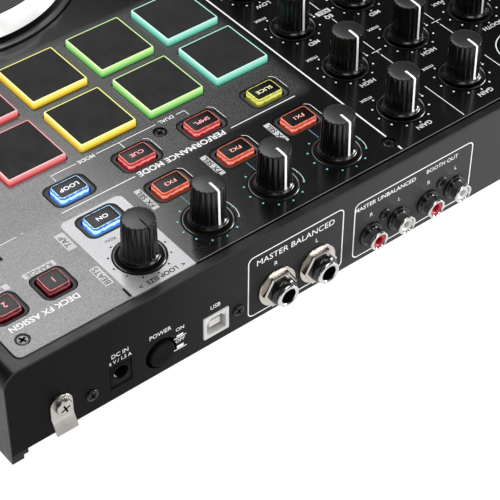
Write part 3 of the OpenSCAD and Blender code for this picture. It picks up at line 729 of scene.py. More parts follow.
def capSolid(s, size, text, textSize=2.7, wide=1.2):
    w, d = size
    r, up = s["corner"], s["up"]
    loops = [rounded(w, d, r, s["foot"]), rounded(w, d, r, -0.4), rounded(w - 0.1, d - 0.1, r, up - 0.75),
             rounded(w - 0.3, d - 0.3, r, up - 0.32), rounded(w - 0.62, d - 0.62, r - 0.1, up - 0.08),
             rounded(w - 0.85, d - 0.85, r - 0.15, up - 0.03),
             rounded(w - 1.2, d - 1.2, r - 0.35, up - 0.05),
             rounded(w - 1.3, d - 1.3, r - 0.4, up - 0.2), rounded(w - 1.45, d - 1.45, r - 0.45, up - 0.2),
             rounded(w - 1.7, d - 1.7, r - 0.5, up - 0.07), rounded(w - 2.4, d - 2.4, r - 0.6, up - 0.04)]
    solid = Solid().loft(loops, [0] * 6 + [1] * 4)
    if text:
        solid.merge(letters(text, textSize, 0.0, 0.03), shifted(0, 0, up - 0.04) @ widened(wide), 2)
    return solid


def keyCap(kind, text):
    if kind == "square":
        return capSolid(capLook, capLook[kind], text, 3.8, 0.9)
    return capSolid(capLook, capLook[kind], text)


rowTexts = {"mode_button": [("LOOP", "blue"), ("CUE", "red"), ("SMPL", "red"), ("SLICE", "yellow")],
            "fx_button": [("ON", "blue"), ("FX3", "orange"), ("FX2", "orange"), ("FX1", "orange")],
            "assign_button": [("1", "smoke"), ("2", "smoke")]}
buttonSpots = []
for row, keys in rowTexts.items():
    for i, (text, tint) in enumerate(keys):
        node = f"{row}_{i + 1}"
        kind = "square" if row == "assign_button" else "wide"
        x, y, z = onTop(node)
        keyCap(kind, text).make(node + "_cap", [capLit[tint], capTop, legendLit[tint]], node, (x, y, z),
                                "cap_" + tint, [node])
        buttonSpots.append((x, y, kind, text, tint))
stood = ["buttons_left"]
for tint in ("blue", "red", "orange", "yellow", "smoke"):
    group = Solid()
    for x, y, kind, text, its in buttonSpots:
        if its == tint:
            group.merge(keyCap(kind, text), shifted(x + deckStep, y))
    group.make("buttons_left_" + tint, [capLit[tint], capTop, legendLit[tint]], "buttons_left", origin,
               "cap_" + tint, stood)
    stood = []

transportLow, transportHigh = ends("transport_buttons")
capWide, capDeep = capLook["wide"]
transportY = transportLow.y + capDeep / 2
cueY = transportHigh.y - capDeep / 2
transportKeys = ["PLAY", "CUE", "SYNC", "SHIFT"]
transportStep = 30
transportX = [transportHigh.x - capWide / 2 - transportStep * i for i in range(len(transportKeys))]
playSpots = [(x + shift, transportY) for shift in (0, deckStep) for x in transportX]
cueSpots = [(x, cueY) for x in mixColumns]
transports = Solid()
for i, (x, y) in enumerate(playSpots):
    transports.merge(capSolid(capLook, capLook["wide"], transportKeys[i % 4], 2.5), shifted(x, y))
for x, y in cueSpots:
    transports.merge(keyCap("wide", "PFL"), shifted(x, y))
transports.make("transport_caps", [capLit["white"], capTop, legendLit["white"]], "transport_buttons",
                origin, "cap_white", ["transport_buttons"])

bezelLook = {"wide": (18.3, 13.1, 3.4), "square": (14.1, 14.1, 3.4), "gap": 0.7, "innerCorner": 1.9}


def bezelSolid(s, kind, inside=1):  # inside is the finish of the wall round the cap
    w, d, r = s[kind]
    iw, idp = [side + 2 * s["gap"] for side in capLook[kind]]
    ir = s["innerCorner"]
    loops = [rounded(w, d, r, -3.0), rounded(w, d, r, -0.3), rounded(w - 0.2, d - 0.2, r - 0.1, -0.12),
             rounded(w - 1.3, d - 1.3, r - 0.6, -0.12), rounded(w - 1.45, d - 1.45, r - 0.65, -0.32),
             rounded(iw + 0.7, idp + 0.7, ir + 0.3, -0.4), rounded(iw + 0.3, idp + 0.3, ir + 0.1, -0.6),
             rounded(iw, idp, ir, -1.2), rounded(iw, idp, ir, -3.0)]
    return Solid().loft(loops, [1, 1, 1, 1, 0, 0, inside, inside, 1], ring=True)


slotLook = {"frame": (9.4, 113.4), "mouth": (3.0, 108.0)}


def slotFrame(s):  # frame round a pitch fader's slot
    w, d = s["frame"]
    mw, md = s["mouth"]
    loops = [rounded(w, d, 1.5, -1.6), rounded(w, d, 1.5, -0.7), rounded(w - 0.4, d - 0.4, 1.4, -0.6),
             rounded(mw + 0.6, md + 0.4, 1.2, -0.6), rounded(mw, md, 1.2, -1.0), rounded(mw, md, 1.2, -1.6)]
    return Solid().loft(loops, 0, ring=True)


bezels = Solid()
for shift in (0, deckStep):
    for x, y, kind, text, tint in buttonSpots:
        # round the blue caps the bezel wall gets the painted blue glow
        bezels.merge(bezelSolid(bezelLook, kind, 2 if tint == "blue" else 1), shifted(x + shift, y))
for x, y in playSpots + cueSpots:
    bezels.merge(bezelSolid(bezelLook, "wide"), shifted(x, y))
for node in ("pitch_fader_right", "pitch_fader_left"):
    spot = middle(node)
    bezels.merge(slotFrame(slotLook), shifted(spot.x, spot.y))
bezels.make("bezel_frames", [bezelPlastic, bezelEdge, blueGlow], "chassis", origin, "trim",
            ["button_bezels"])
print("buttons done")


# jog wheels
jogLook = {"rim": 56.6, "up": 11.0, "inner": 51.8, "dimples": 12, "first": 83.5, "deep": 3.0, "wide": 7.5,
           "grooves": 50.8, "hub": 17, "grooveStep": 1.35, "face": 10.2}


def jogRim(s, count=432):
    rim, up, inner = s["rim"], s["up"], s["inner"]
    profile = [  # radius, height, share of the dimple's depth
        (51.0, 2.8, 0), (55.4, 2.8, 0), (56.3, 3.0, 0), (rim, 3.5, 0), (56.5, 5.0, 0.25), (56.35, 6.5, 0.7),
        (56.15, 8.0, 1), (55.8, 9.2, 1), (55.2, 10.1, 1), (54.5, 10.7, 0.9), (53.6, up, 0.3), (52.6, up, 0),
        (52.0, 10.9, 0), (inner, 10.6, 0), (inner, 9.0, 0), (51.0, 8.6, 0)]
    loops = []
    for r, z, share in profile:
        loop = []
        for i in range(count):
            deg = 360 * i / count
            off = (deg - s["first"] + 180 / s["dimples"]) % (360 / s["dimples"]) - 180 / s["dimples"]
            dip = 0.0
            if abs(off) < s["wide"]:
                dip = math.cos(abs(off) / s["wide"] * math.pi / 2) ** 1.5
            cut = s["deep"] * dip * share
            a = math.radians(deg)
            loop.append(((r - cut) * math.cos(a), (r - cut) * math.sin(a), z - 0.5 * dip * share * (z > 8)))
        loops.append(loop)
    return Solid().loft(loops, 0, ring=True)


def jogPlatter(s, count=216):  # fine turned grooves round a plain middle
    face = s["face"]
    profile = [(50.9, 7.0), (51.7, 7.2), (51.7, face - 0.2), (51.4, face)]
    r = s["grooves"]
    while r > s["hub"]:
        profile += [(r, face), (r - 0.25, face - 0.2), (r - 0.5, face)]
        r -= s["grooveStep"]
    profile += [(15.5, 10.25), (15.2, 10.05), (14.9, 10.25), (0.5, 10.3)]
    return turned(profile, count)


jogTop = jogPlatter(jogLook)
jogEdge = jogRim(jogLook)
for node in ("jog_right", "jog_left"):
    jogEdge.make(node + "_rim", [jogWhite], node, onTop(node), "jog", [node])
    jogTop.make(node + "_platter", [jogBlack], node, onTop(node), "knob")
ringLook = [(4.5, -3.0), (60.6, -3.0), (60.6, 0.75), (60.4, 1.05), (60.0, 1.2), (58.0, 1.2), (57.6, 0.9),
            (57.3, 0.5), (57.0, -2.6), (4.5, -2.6)]
rings = Solid()
for node in ("jog_right", "jog_left"):
    spot = middle(node)
    rings.merge(turnedRing(ringLook, 240, [1, 1, 0, 0, 0, 0, 0, 1, 1, 1]), shifted(spot.x, spot.y))
rings.make("jog_rings", [jogSatin, jogRingDark], "chassis", origin, "ring", ["jog_bases"])
print("jog wheels done")


# fader caps
def faderSolid(w, l, h):  # w across the slot, l along it, saddle on top
    side = [(-l / 2, 1.2), (l / 2, 1.2), (l / 2, h - 3.2), (l / 2 - 0.6, h - 0.9), (l / 2 - 1.6, h - 0.2)]
    for i in range(9):
        t = 1 - 2 * i / 8
        side.append((t * (l / 2 - 2.6), h - 1.9 + 1.5 * t * t))
    side += [(-l / 2 + 1.6, h - 0.2), (-l / 2 + 0.6, h - 0.9), (-l / 2, h - 3.2)]
    loops = []
    cz = h / 2
    for x, shrink in ((-w / 2, 0.93), (-w / 2 + 0.25, 0.98), (-w / 2 + 0.7, 1.0), (w / 2 - 0.7, 1.0),
                      (w / 2 - 0.25, 0.98), (w / 2, 0.93)):
        loops.append([(x, y * shrink, max(1.2, cz + (z - cz) * shrink)) for y, z in side])
    solid = Solid().loft([loop[::-1] for loop in loops], 0)
    solid.merge(block(-w / 2 - 0.02, w / 2 + 0.02, -0.5, 0.5, h - 3.0, h - 1.86), None, 1)
    solid.merge(block(-0.8, 0.8, -3, 3, -10, 1.3), None, 2)
    return solid


faderFinishes = [faderPlastic, pointerPaint, zinc]
pitchSize = (16, 24, 13)
pitchCap = faderSolid(*pitchSize)
for node in ("pitch_fader_right", "pitch_fader_left"):
    pitchCap.make(node + "_cap", faderFinishes, node, onTop(node), "fader", [node])
channelLow, channelHigh = ends("channel_faders")
channelY = (channelLow.y + channelHigh.y) / 2
channelWide = 2 * (channelHigh.x - 2 * columnStep)
channelCap = faderSolid(channelWide, channelHigh.y - channelLow.y, channelHigh.z - plateTop)
channelCaps = Solid()
for x in mixColumns:
    channelCaps.merge(channelCap, shifted(x, channelY))
channelCaps.make("channel_fader_caps", faderFinishes, "channel_faders", origin, "fader", ["channel_faders"])
crossLow, crossHigh = ends("crossfader")
crossSize = crossHigh - crossLow
crossAt = (crossLow + crossHigh) / 2
crossCap = Solid().merge(faderSolid(crossSize.y, crossSize.x, crossHigh.z - plateTop), spun(90))
crossCap.make("crossfader_cap", faderFinishes, "crossfader", (crossAt.x, crossAt.y, plateTop),
              "fader", ["crossfader"])
print("fader caps done")


# screws
screwLook = {"head": 2.6, "slots": (25, 115), "sunk": 0.2, "underside": 5.25}


def screwSolid(s):  # pan head with a shallow rim round the cross drive
    r = s["head"]
    solid = turned([(1.3, -1.2), (r, -1.2), (r, -0.55), (r - 0.1, -0.3), (r - 0.4, -0.08), (r - 0.8, 0.0),
                    (1.9, 0.0), (0.6, -0.06)], 48)
    # the cross drive is a raised near-black cross: painted shade for the recess
    for turn in s["slots"]:
        solid.merge(block(-1.6, 1.6, -0.42, 0.42, -0.4, 0.03, 1), spun(turn))
    return solid


screwPart = screwSolid(screwLook)
screwZ = plateTop - screwLook["sunk"]
cornerX = top("screws").x - screwLook["head"]
cornerY = 160.3
plateScrews = [(84.4, 160.1), (-84.4, 160.1), (150.2, 100.5), (150.2 + deckStep, 100.5), (84.4, -162.5),
               (-84.4, -162.5)]
cornerScrews = [(cornerX, cornerY), (-cornerX, cornerY), (cornerX, -162.5), (-cornerX, -162.5)]
rearScrews = [(234, 14.8), (167.3, 16.1), (94.45, 23.6), (64.35, 23.7), (-167.3, 16.1), (-234, 14.8)]
darkScrews = Solid()
for x, y in plateScrews:
    darkScrews.merge(screwPart, shifted(x, y, screwZ))
for x, z in rearScrews:
    darkScrews.merge(screwPart, toRear(x, z) @ shifted(z=0.85))
for half, y in ((248.5, -165.0), (248.5, 157.0), (84, -165.0), (84, 111.0)):
    for x in (-half, half):
        darkScrews.merge(screwPart, shifted(x, y, screwLook["underside"]) @ spun(180, "X"))
darkScrews.make("dark_screws", [blackSteel, paintedRecessShade], "chassis", (0, 0, 0), "screw_steel", ["screws"])
brightScrews = Solid()
for x, y in cornerScrews:
    brightScrews.merge(screwPart, shifted(x, y, screwZ))
brightScrews.make("bright_screws", [screwGrey, paintedRecessShade], "chassis", (0, 0, 0), "screw_steel")
print("screws done")


# rear sockets
def hexRing(across, z0, z1, bore, chamfer=0.7, count=72):  # across is the radius to the corners
    loops = []
    for r, z, sharpness in ((bore, z0, 0), (across, z0, 1), (across, z1 - chamfer * 0.6, 1),
                            (across - chamfer, z1, 0.3), (bore, z1, 0)):
        loop = []
        for i in range(count):
            a = 2 * math.pi * i / count
            near = (a + math.pi / 6) % (math.pi / 3) - math.pi / 6
            flat = r * math.cos(math.pi / 6) / math.cos(near)
            edge = flat if sharpness else r
            if 0 < sharpness < 1:
                edge = min(flat, r)
            turn = a + math.pi / 6
            loop.append((edge * math.cos(turn), edge * math.sin(turn), z))
        loops.append(loop)
    return Solid().loft(loops, 0, ring=True)


jackLow, jackHigh = ends("jack_sockets")
jackZ = middle("jack_nuts").z
jackX = [jackHigh.x - 8.0, jackLow.x + 8.0]
thread = 5.95
washer = turnedRing([(thread, 0.0), (8.7, 0.0), (8.8, 0.2), (8.8, 0.7), (8.65, 0.95), (8.3, 1.0),
                     (thread, 1.0)], 96)
hexNut = hexRing(8.0, 1.0, 3.2, thread)
nutSolid = Solid()
bushSolid = Solid()
sleeve = [(3.3, -20.0), (5.9, -20.0), (5.9, 3.2), (5.9, 3.3), (5.84, 3.45), (5.9, 3.6), (5.85, 5.2),
          (5.6, 5.6), (5.15, 6.0), (4.75, 6.3), (4.7, 6.9), (3.3, 6.9)]
lip = [(3.25, -1.0), (3.5, 6.6), (4.75, 6.7), (4.9, 6.85), (4.9, 7.3), (4.7, 7.75), (4.3, 7.98),
       (3.7, 7.95), (3.3, 7.6)]
bushing = turnedRing(sleeve, 72, 0).merge(turnedRing(lip, 72, 1))
# painted shade: a near-black disc closes the end of the bore
bushing.merge(turned([(3.28, -20.0), (3.28, -18.0), (0.3, -18.0)], 48, 2))  # dark end of the bore
for x in jackX:
    stand = toRear(x, jackZ)
    nutSolid.merge(washer, stand).merge(hexNut, stand)
    bushSolid.merge(bushing, stand)
nutSolid.make("jack_hex_nuts", [nickel], "chassis", slot="nickel", stands=["jack_nuts"])
bushSolid.make("jack_bushings", [socketPlastic, chrome, paintedRecessShade], "chassis", slot="socket_black",
               stands=["jack_sockets"])

phonoX = [101.7, 87.2, 71.6, 57.1]
phonoZ = 17.6
reach = top("phono_sockets").y - panelFace
phonoBase = turnedRing([(3.6, -12), (5.3, -12), (5.3, 0.75), (5.15, 1.0), (4.75, 1.1), (4.6, 1.5),
                        (4.45, 1.9), (3.6, 1.9)], 64)
barrel = [(3.0, 0.8), (4.3, 0.9), (4.35, 1.3), (4.35, 1.75), (3.85, 1.85), (3.85, 2.15), (4.0, 2.3),
          (4.0, reach - 1.7), (4.1, reach - 1.4), (4.15, reach - 1.2), (4.15, reach - 0.35),
          (4.0, reach - 0.08), (3.75, reach), (3.3, reach - 0.02), (3.1, reach - 0.25), (3.0, reach - 0.8)]
phonoBarrel = turnedRing(barrel, 72)
insert = [(1.6, 1.0), (3.0, 1.0), (3.0, reach - 0.7), (2.8, reach - 0.5), (2.1, reach - 0.55),
          (1.75, reach - 0.85), (1.6, reach - 1.4)]
phonoInsert = turnedRing(insert, 56).merge(turned([(1.62, 0.6), (1.62, 1.2), (0.2, 1.2)], 32, 1))
phonoBlack = Solid()
phonoMetal = Solid()
phonoInserts = {"red": Solid(), "white": Solid()}
for i, x in enumerate(phonoX):
    stand = toRear(x, phonoZ)
    phonoBlack.merge(phonoBase, stand)
    phonoMetal.merge(phonoBarrel, stand)
    phonoInserts["red" if i % 2 == 0 else "white"].merge(phonoInsert, stand)
for i in (0, 2):  # one moulded body behind the panel for each pair
    phonoBlack.merge(block(phonoX[i + 1] - 6, phonoX[i] + 6, panelFace - 14, panelFace - 2, phonoZ - 7,
                           phonoZ + 8))
phonoBlack.make("phono_bases", [socketPlastic], "chassis", slot="socket_black", stands=["phono_sockets"])
phonoMetal.make("phono_barrels", [chrome], "chassis", slot="nickel")
phonoInserts["red"].make("phono_inserts_red", [phonoRed, paintedRecessShade], "chassis", slot="nickel")
phonoInserts["white"].make("phono_inserts_white", [phonoWhite, paintedRecessShade], "chassis", slot="nickel")


def usbSolid(x, z):
    solid = Solid()
    outer = [(12.0, 11.2, 0.6, -15.0), (12.0, 11.2, 0.6, 0.0), (11.8, 11.0, 0.6, 0.25),
             (11.4, 10.6, 0.5, 0.3), (8.9, 8.2, 0.5, 0.3), (8.6, 7.9, 0.5, 0.1), (8.5, 7.8, 0.5, -0.6),
             (8.5, 7.8, 0.5, -15.0)]
    solid.loft([rounded(*o) for o in outer], [0, 0, 0, 0, 0, 1, 1, 0], ring=True)
    corner = [[(-4.3, 3.95, h), (-4.3, 1.9, h), (-2.4, 3.95, h)] for h in (-12.0, 0.05)]
    solid.loft(corner, 1)
    solid.merge(Solid().loft([[(-x1, y1, h) for x1, y1, h in reversed(loop)] for loop in corner], 1))
    tongue = [(5.6, 3.2, 0.3, -14.0), (5.6, 3.2, 0.3, -1.2), (5.2, 2.8, 0.3, -0.9)]
    solid.loft([rounded(*t) for t in tongue], 1)
    for cx in (-1.25, 1.25):  # four contacts
        for cy in (-1.62, 1.62):
            solid.merge(block(cx - 0.4, cx + 0.4, cy - 0.06, cy + 0.06, -12, -2, 2))
    solid.merge(block(-4.3, 4.3, -3.95, 3.95, -14.6, -13.6, 3))
    return Solid().merge(solid, toRear(x, z) @ spun(180))


usbAt = middle("usb_socket")
usbFinishes = [socketCream, socketCream, contactBrass, socketPlastic]
usbSolid(usbAt.x, usbAt.z).make("usb_port", usbFinishes, "chassis", slot="nickel", stands=["usb_socket"])

dcAt = middle("dc_socket")
dcLook = {"mouth": 3.2, "raised": 1.0, "face": (4.2, 5.0), "rim": (4.45, 5.25), "body": (4.7, 5.5)}


def dcBore(s, x, z):
    m = s["mouth"]
    stand = toRear(x, z + s["raised"])
    solid = Solid()
    lining = [(m - 0.25, -11.5), (m, -11.5), (m, 0.0), (m - 0.1, 0.02), (m - 0.25, -0.3)]
    solid.merge(turnedRing(lining, 56, 0), stand)
    solid.merge(turned([(m, -12.0), (m, -11.4), (0.2, -11.4)], 56, 0), stand)
    solid.merge(turned([(1.0, -12.0), (1.0, -5.1), (0.75, -4.7), (0.3, -4.6)], 32, 1), stand)
    for turn in (5, 25, 45, 65):  # sprung outer contact, just inside the mouth
        solid.merge(block(2.5, 2.8, -0.5, 0.5, -6.0, -0.7, 1), stand @ spun(turn))
    return solid


def dcShell(s, x, z):  # square face with a real hole in it
    steps = [(s["mouth"], -12.0), (s["mouth"], 0.0), (3.6, 0.06), (4.0, -0.12), (s["face"], -0.12),
             (s["rim"], 0.05), (s["body"], -0.1), (s["body"], -14.0)]
    loops = []
    for size, h in steps:
        loop = []
        for cx, cy, flat in circle(1.0, 0.0):
            if isinstance(size, float):  # round, about the mouth
                loop.append((size * cx, size * cy - s["raised"], h))
            else:  # half width and half depth of a box
                k = min(size[0] / max(abs(cx), 1e-6), size[1] / max(abs(cy), 1e-6))
                loop.append((k * cx, k * cy, h))
        loops.append(loop[::-1])
    return Solid().merge(Solid().loft(loops, 0, ring=True), toRear(x, z))


dcPiece = dcShell(dcLook, dcAt.x, dcAt.z).merge(dcBore(dcLook, dcAt.x, dcAt.z))
dcPiece.make("dc_port", [powerPlastic, chrome], "chassis", slot="socket_black", stands=["dc_socket"])

powerAt = middle("power_button")
powerUp = top("power_button").y - panelFace
buttonProfile = [(4.0, -10.0), (5.6, -10.0), (5.6, powerUp - 0.5), (5.45, powerUp - 0.18),
                 (5.1, powerUp - 0.02), (4.6, powerUp), (2.5, powerUp - 0.12), (0.3, powerUp - 0.16)]
powerCap = Solid().merge(turned(buttonProfile, 72), toRear(powerAt.x, powerAt.z))
powerCap.make("power_cap", [powerPlastic], "power_button", slot="cap_white", stands=["power_button"])

lugLow, lugHigh = ends("ground_terminal")
lugHalf = 4.7


def panelMatrix(x, z):  # text and flat shapes on the rear panel, read from behind
    return Matrix(((-1, 0, 0, x), (0, 0, 1, panelFace), (0, 1, 0, z), (0, 0, 0, 1)))


def lugSolid(half):  # round plate, bent tongue below it and a clamping screw
    body = Solid()
    outline = arc(0, 0, half, 0, 180, 15)
    front = []
    for k, h in ((1.0, 0.02), (1.0, 0.75), (0.96, 0.95)):
        foot = [(-half * k, -6.0, h), (half * k, -6.0, h)]
        front.append([(px * k, py * k, h) for px, py in outline] + foot)
    body.loft(front, 0)
    flap = []
    for along, out in ((-5.6, 0.5), (-6.4, 0.62), (-7.2, 0.95), (-9.2, 2.1), (-11.4, 3.4)):
        flap.append([(-half + 0.15, along, out + 0.42), (-half + 0.15, along, out - 0.42),
                     (half - 0.15, along, out - 0.42), (half - 0.15, along, out + 0.42)])
    body.loft(flap, 0)
    head = [(1.5, 0.5), (3.4, 0.95), (3.4, 2.5), (3.2, 2.95), (2.6, 3.3), (1.4, 3.38), (0.3, 3.38)]
    body.merge(turned(head, 56, 0))
    for turn in (20, 110):
        body.merge(block(-2.0, 2.0, -0.38, 0.38, 2.6, 3.4, 1), spun(turn))
    return body


lugPlace = panelMatrix((lugLow.x + lugHigh.x) / 2, lugHigh.z - lugHalf)
lug = Solid().merge(lugSolid(lugHalf), lugPlace)
lug.make("ground_lug", [zinc, paintedRecessShade], "chassis", slot="nickel", stands=["ground_terminal"])
print("rear sockets done")


# prints on the face plate
whitePrint = Solid()
greyPrint = Solid()
paleDots = Solid()
bluePrint = Solid()
blackPrintAndShadow = Solid()
labelPrint = Solid()
inkUp = 0.03
inkDown = -0.05
dotPart = turned([(0.42, inkDown), (0.42, inkUp), (0.1, inkUp)], 12)


def onPlate(target, text, x, y, size, weight=0.0, turn=0.0, wide=1.0, z=0.0):
    target.merge(letters(text, size, weight), shifted(x, y, z) @ spun(turn) @ widened(wide))


def line(target, path, width):
    target.merge(ribbon(path, width, inkDown, inkUp))


def tab(x, y, w, d):  # pale ground under dark words
    labelPrint.merge(Solid().loft([rounded(w, d, 0.2, z) for z in (inkDown, inkUp)]), shifted(x, y))


dotRing = 11.45
scaleArc = 11.6


def dots(target, x, y, radius=dotRing, count=11):
    for i in range(count):
        a = math.radians(-60 + 300 * i / (count - 1))
        target.merge(dotPart, shifted(x + radius * math.cos(a), y + radius * math.sin(a)))


performanceY = 115.6
modeY = 95.8
rangeY = 135.3
killY = 80.0
pitchFrom = 116
pitchStep = 5
tickFrom = 22.5
tickStep = 4.5
mixerEdge = 83.0
modeX = [button[0] for button in buttonSpots[:4]]
effectX = [button[0] for button in buttonSpots[4:8]]
for shift in (0.0, deckStep):
    for i, (x, y) in enumerate(effectSpots):
        kx = x + shift
        dots(blackPrintAndShadow if i == 0 else paleDots, kx, y)
        if i:
            line(whitePrint, arc(kx, y, scaleArc, 150, 205), 0.22)
            line(bluePrint, [(kx + 0.4, 135.0), (kx + 0.4, 141.0)], 0.35)
            line(whitePrint, arc(kx - 7.2, 124.3, 2.7, 255, 180, 5) + [(kx - 9.9, 134.0)], 0.24)
    for x in effectX[1:]:
        tab(x + shift + 11.5, 128.7, 2.9, 12.9)
        onPlate(blackPrintAndShadow, "FX SEL", x + shift + 11.5, 128.5, 3.1, 0.05, -90, 1.15, inkUp)
    for text, x, y, w, d in (("TAP", 214.2, 129.0, 3.9, 9.8), ("BEATS", 214.2, 151.7, 3.7, 10.6)):
        tab(x + shift, y, w, d)
        onPlate(greyPrint, text, x + shift, y, 3.5, 0.03, -90, 1.0, inkUp)
    for text, x in (("RANGE", 229.9), ("RESET", 249.6)):
        tab(x + shift, rangeY, 13.4, 2.9)
        onPlate(greyPrint, text, x + shift, rangeY, 2.9, 0.0, 0, 1.15, inkUp)
    onPlate(whitePrint, "DECK FX ASSIGN", 240.3 + shift, 154.2, 3.6, 0.07, 0, 1.06)
    onPlate(blackPrintAndShadow, "<  LOOP SIZE  >", 196.9 + shift, 164.6, 2.9, 0.04)
    onPlate(greyPrint, "ROLL", 201.0 + shift, 138.3, 2.0)
    # performance row and mode bracket
    for x0, x1 in ((206.6, 173.1), (127.1, 94.8)):
        line(whitePrint, [(x0 + shift, performanceY), (x1 + shift, performanceY)], 0.42)
    onPlate(whitePrint, "PERFORMANCE MODE", 151.0 + shift, performanceY, 3.9, 0.07, 0, 1.057)
    for path in (((198.2, 99.5), (198.2, modeY), (186.5, modeY)), ((177.3, modeY), (148.9, modeY)),
                 ((166.5, modeY), (166.5, 99.6)), ((138.9, modeY), (134.9, modeY), (134.9, 98.8))):
        line(whitePrint, [(x + shift, y) for x, y in path], 0.35)
    for text, x in (("MODE", 181.9), ("DUAL", 143.8)):
        onPlate(whitePrint, text, x + shift, modeY, 2.7, 0.03)
    for x in modeX[1:]:
        bx = x + shift
        line(whitePrint, arc(bx - 7.2, 102.4, 2.9, 255, 180, 5) + [(bx - 10.1, 109.3)], 0.22)
    # pitch scale
    for k in range(21):
        y = pitchFrom - pitchStep * k
        line(whitePrint, [(226.8 + shift + (0 if k % 5 == 0 else 4), y), (236.2 + shift, y)], 0.3)
    for k, text in ((0, "-"), (10, "0"), (20, "+")):
        onPlate(whitePrint, text, 224.2 + shift, pitchFrom - pitchStep * k, 3.2)
    # loop field edge shadow
    line(blackPrintAndShadow, [(211.9 + shift, 161.5), (212.0 + shift, 166.4)], 0.9)
    for x in transportX:
        line(whitePrint, [(x - 6 + shift, transportY + 8.6), (x + 6 + shift, transportY + 8.6)], 0.3)

rowNames = ["GAIN", "HIGH", "MID", "LOW", "FILTER"]
for x in mixColumns:
    for j, y in enumerate(mixRows):
        dots(whitePrint, x, y)
        onPlate(whitePrint, rowNames[j], x, y + 13.6, 3.0, 0.04, 0, 1.05)
        onPlate(whitePrint, "max", x + 7.6, y - 11.8, 3.0, 0.0, 0, 1.15)
        onPlate(whitePrint, "+", x - 11.6, y - 0.1, 2.4)
        line(whitePrint, arc(x, y, scaleArc, 184, 200), 0.2)
for i, (x, y) in enumerate(centreSpots[1:]):
    dots(whitePrint, x, y)
    onPlate(whitePrint, ["BOOTH", "MASTER", "PHONES", "MIX"][i], x, y + 13.6, 3.0, 0.04)
    onPlate(whitePrint, "MAX", x + 7.6, y - 11.8, 2.6, 0.0, 0, 1.1)
line(whitePrint, arc(*centreSpots[0], scaleArc, 0, 359.9, 60), 0.5)
dashes = [(165.8, 143.0), (139.8, 131.6), (126.0, 116.4), (112.6, 98.0), (93.0, 86.0), (77.6, 66.0),
          (62.0, 34.0)]
for side in (1, -1):
    line(whitePrint, [(side * mixerEdge, 156.8), (side * mixerEdge, 40)], 0.7)
    line(whitePrint, [(side * mixerEdge, 163.8), (side * mixerEdge, 166.0)], 0.7)
    for x in (49.9, 16.7):
        for y0, y1 in dashes:
            line(whitePrint, [(side * x, y0), (side * x, y1)], 0.32)
        line(whitePrint, [(side * x - 2.5, 113.8), (side * x + 2.5, 113.8)], 0.28)
        line(whitePrint, [(side * x, 113.8), (side * x, 115.4)], 0.28)
        tab(side * x, killY, 7.0, 2.6)
        onPlate(blackPrintAndShadow, "KILL", side * x, killY, 2.5, 0.03, 0, 1.1, inkUp)
        onPlate(whitePrint, "EQ", side * x, 83.7, 3.0, 0.04)
for x in mixColumns:
    for k in range(11):
        y = channelY + tickFrom - tickStep * k
        line(whitePrint, [(x + 6.0, y), (x + (11.0 if k % 5 == 0 else 8.6), y)], 0.3)
for k in range(11):
    x = -tickFrom + tickStep * k
    line(whitePrint, [(x, crossAt.y + 13), (x, crossAt.y + (17.0 if k % 5 == 0 else 15.0))], 0.3)
# painted highlight: a thin glowing strip along the plate's rear edge, for light caught on that edge
edgeHighlightStrip = Solid()
line(edgeHighlightStrip, [(182.0, 166.95), (-182.0, 166.95)], 0.26)
# painted shadow: a flat dark ring round each effect knob's collar for the shadowed gap at its foot
shadowRingPart = turned([(10.4, inkDown), (10.4, 0.012), (9.6, 0.012)], 72)  # dark ring round each effect knob
for x, y in effectSpots + leftSpots:
    blackPrintAndShadow.merge(shadowRingPart, shifted(x, y))
platePrints = {
    "plate_painted_edge_highlight": (edgeHighlightStrip, paintedEdgeHighlight), "plate_print_white": (whitePrint, white),
    "plate_print_grey": (greyPrint, greyInk), "plate_dots_blue": (paleDots, paleBlueInk),
    "plate_lines_blue": (bluePrint, dullBlueInk), "plate_print_black_and_shadow": (blackPrintAndShadow, blackInkAndShadow),
    "plate_labels": (labelPrint, labelInk),
}
for name, (solid, ink) in platePrints.items():
    solid.make(name, [ink], "chassis", origin, "plate")
print("face plate prints done")


# prints on the rear panel
panelPrint = Solid()


def onPanel(text, x, z, size, weight=0.0, wide=1.0):
    panelPrint.merge(letters(text, size, weight), panelMatrix(x, z) @ widened(wide))


def panelLine(path, width=0.5, closed=False):
    flat = ribbon([(-x, z) for x, z in path], width, inkDown, inkUp, closed=closed)
    panelPrint.merge(flat, panelMatrix(0, 0))


def panelFrame(x0, x1, z0, z1, r=2.5, width=0.5):
    corners = [(x1 - r, z1 - r), (x0 + r, z1 - r), (x0 + r, z0 + r), (x1 - r, z0 + r)]
    path = []
    for i, (cx, cz) in enumerate(corners):
        path += arc(cx, cz, r, 90 * i, 90 * i + 90, 6)
    panelLine(path, width, True)


panelFrame(116.2, 162.4, 8.6, 38.9)
panelFrame(48.5, 110.3, 8.6, 36.8)
onPanel("MASTER BALANCED", 139.6, 34.7, 4.0, 0.0, 1.06)
onPanel("R", 149.3, 29.8, 2.9)
onPanel("L", 129.3, 29.8, 2.9)
onPanel("MASTER UNBALANCED", 94.7, 33.4, 2.85, 0.02, 1.06)
onPanel("BOOTH OUT", 64.9, 33.5, 2.85, 0.0, 1.0)
for x, text in zip(phonoX, "RLRL"):
    onPanel(text, x, 27.4, 2.6)
onPanel("USB", 178.0, 25.0, 2.9, 0.0, 0.95)
onPanel("POWER", 203.2, 26.6, 2.9, 0.0, 0.98)
onPanel("ON", 194.3, 23.6, 2.5)
onPanel("OFF", 194.4, 17.7, 2.5)
for z, up in ((20.4, 0.9), (14.4, 1.4)):
    panelLine([(191.6, z - 1.0), (197.2, z - 1.0)], 0.4)
    panelLine([(192.9, z - 0.5 + up / 2), (195.9, z - 0.5 + up / 2)], up)
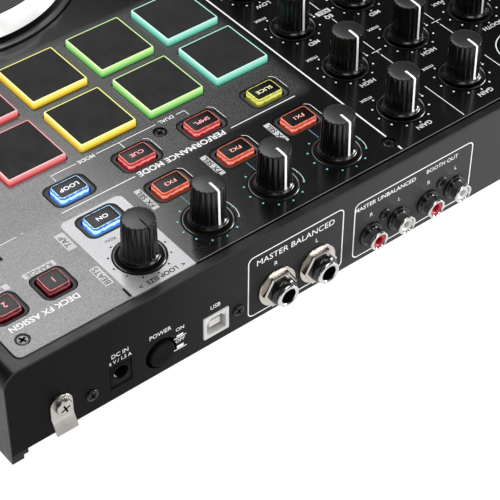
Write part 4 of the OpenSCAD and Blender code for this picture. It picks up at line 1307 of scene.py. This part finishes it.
onPanel("DC IN", 221.0, 28.0, 2.8, 0.0, 1.0)
onPanel("6 V / 1.5 A", 221.0, 25.0, 2.5, 0.0, 0.9)
panelPrint.make("panel_print_white", [white], "chassis", slot="panel")
print("rear prints done")


# finishes of the CAD pieces that stay
keptFinish = {
    "bottom_shell": basePaint, "top_shell": shellPlastic, "face_plate": platePrint,
    "rear_panel": panelPaint, "rubber_feet": rubber, "control_board": boardGreen, "io_board": boardGreen,
    "pot_bodies": zinc, "fader_bodies": zinc, "front_sockets": socketPlastic,
}
for name, finish in keptFinish.items():
    for slot in nodes[name].material_slots:
        slot.material = finish


floorHalf = 30  # metres


def addFloor():
    floorLook = {"Emission Strength": 0.94, "Emission Color": (1, 1, 1), "Specular IOR Level": 0.1}
    made = Finish("paleFloor", floorLook)
    made.set(Base_Color=made.blend(made.noise(60.0, 4.0), (0.22, 0.22, 0.22), (0.24, 0.24, 0.24)),
             Roughness=0.7)
    mesh = bpy.data.meshes.new("floor")
    half = floorHalf
    corners = [(-half, -half, 0), (half, -half, 0), (half, half, 0), (-half, half, 0)]
    mesh.from_pydata(corners, [], [(0, 1, 2, 3)])
    mesh.materials.append(made.material)
    floor = bpy.data.objects.new("floor", mesh)
    bpy.context.scene.collection.objects.link(floor)


skyStops = [(0.12, (0.85, 0.85, 0.86, 1)), (0.42, (0.02, 0.02, 0.021, 1))]


def addSky():  # pale at the horizon, dark overhead so that glossy tops stay black
    world = bpy.data.worlds.new("studio")
    bpy.context.scene.world = world
    world.use_nodes = True
    tree = world.node_tree
    spot = tree.nodes.new("ShaderNodeTexCoord")
    split = tree.nodes.new("ShaderNodeSeparateXYZ")
    ramp = tree.nodes.new("ShaderNodeValToRGB")
    tree.links.new(spot.outputs["Generated"], split.inputs[0])
    tree.links.new(split.outputs["Z"], ramp.inputs[0])
    tree.links.new(ramp.outputs[0], tree.nodes["Background"].inputs["Color"])
    for element, (place, tone) in zip(ramp.color_ramp.elements, skyStops):
        element.position = place
        element.color = tone


addFloor()
addSky()
print("stage done")
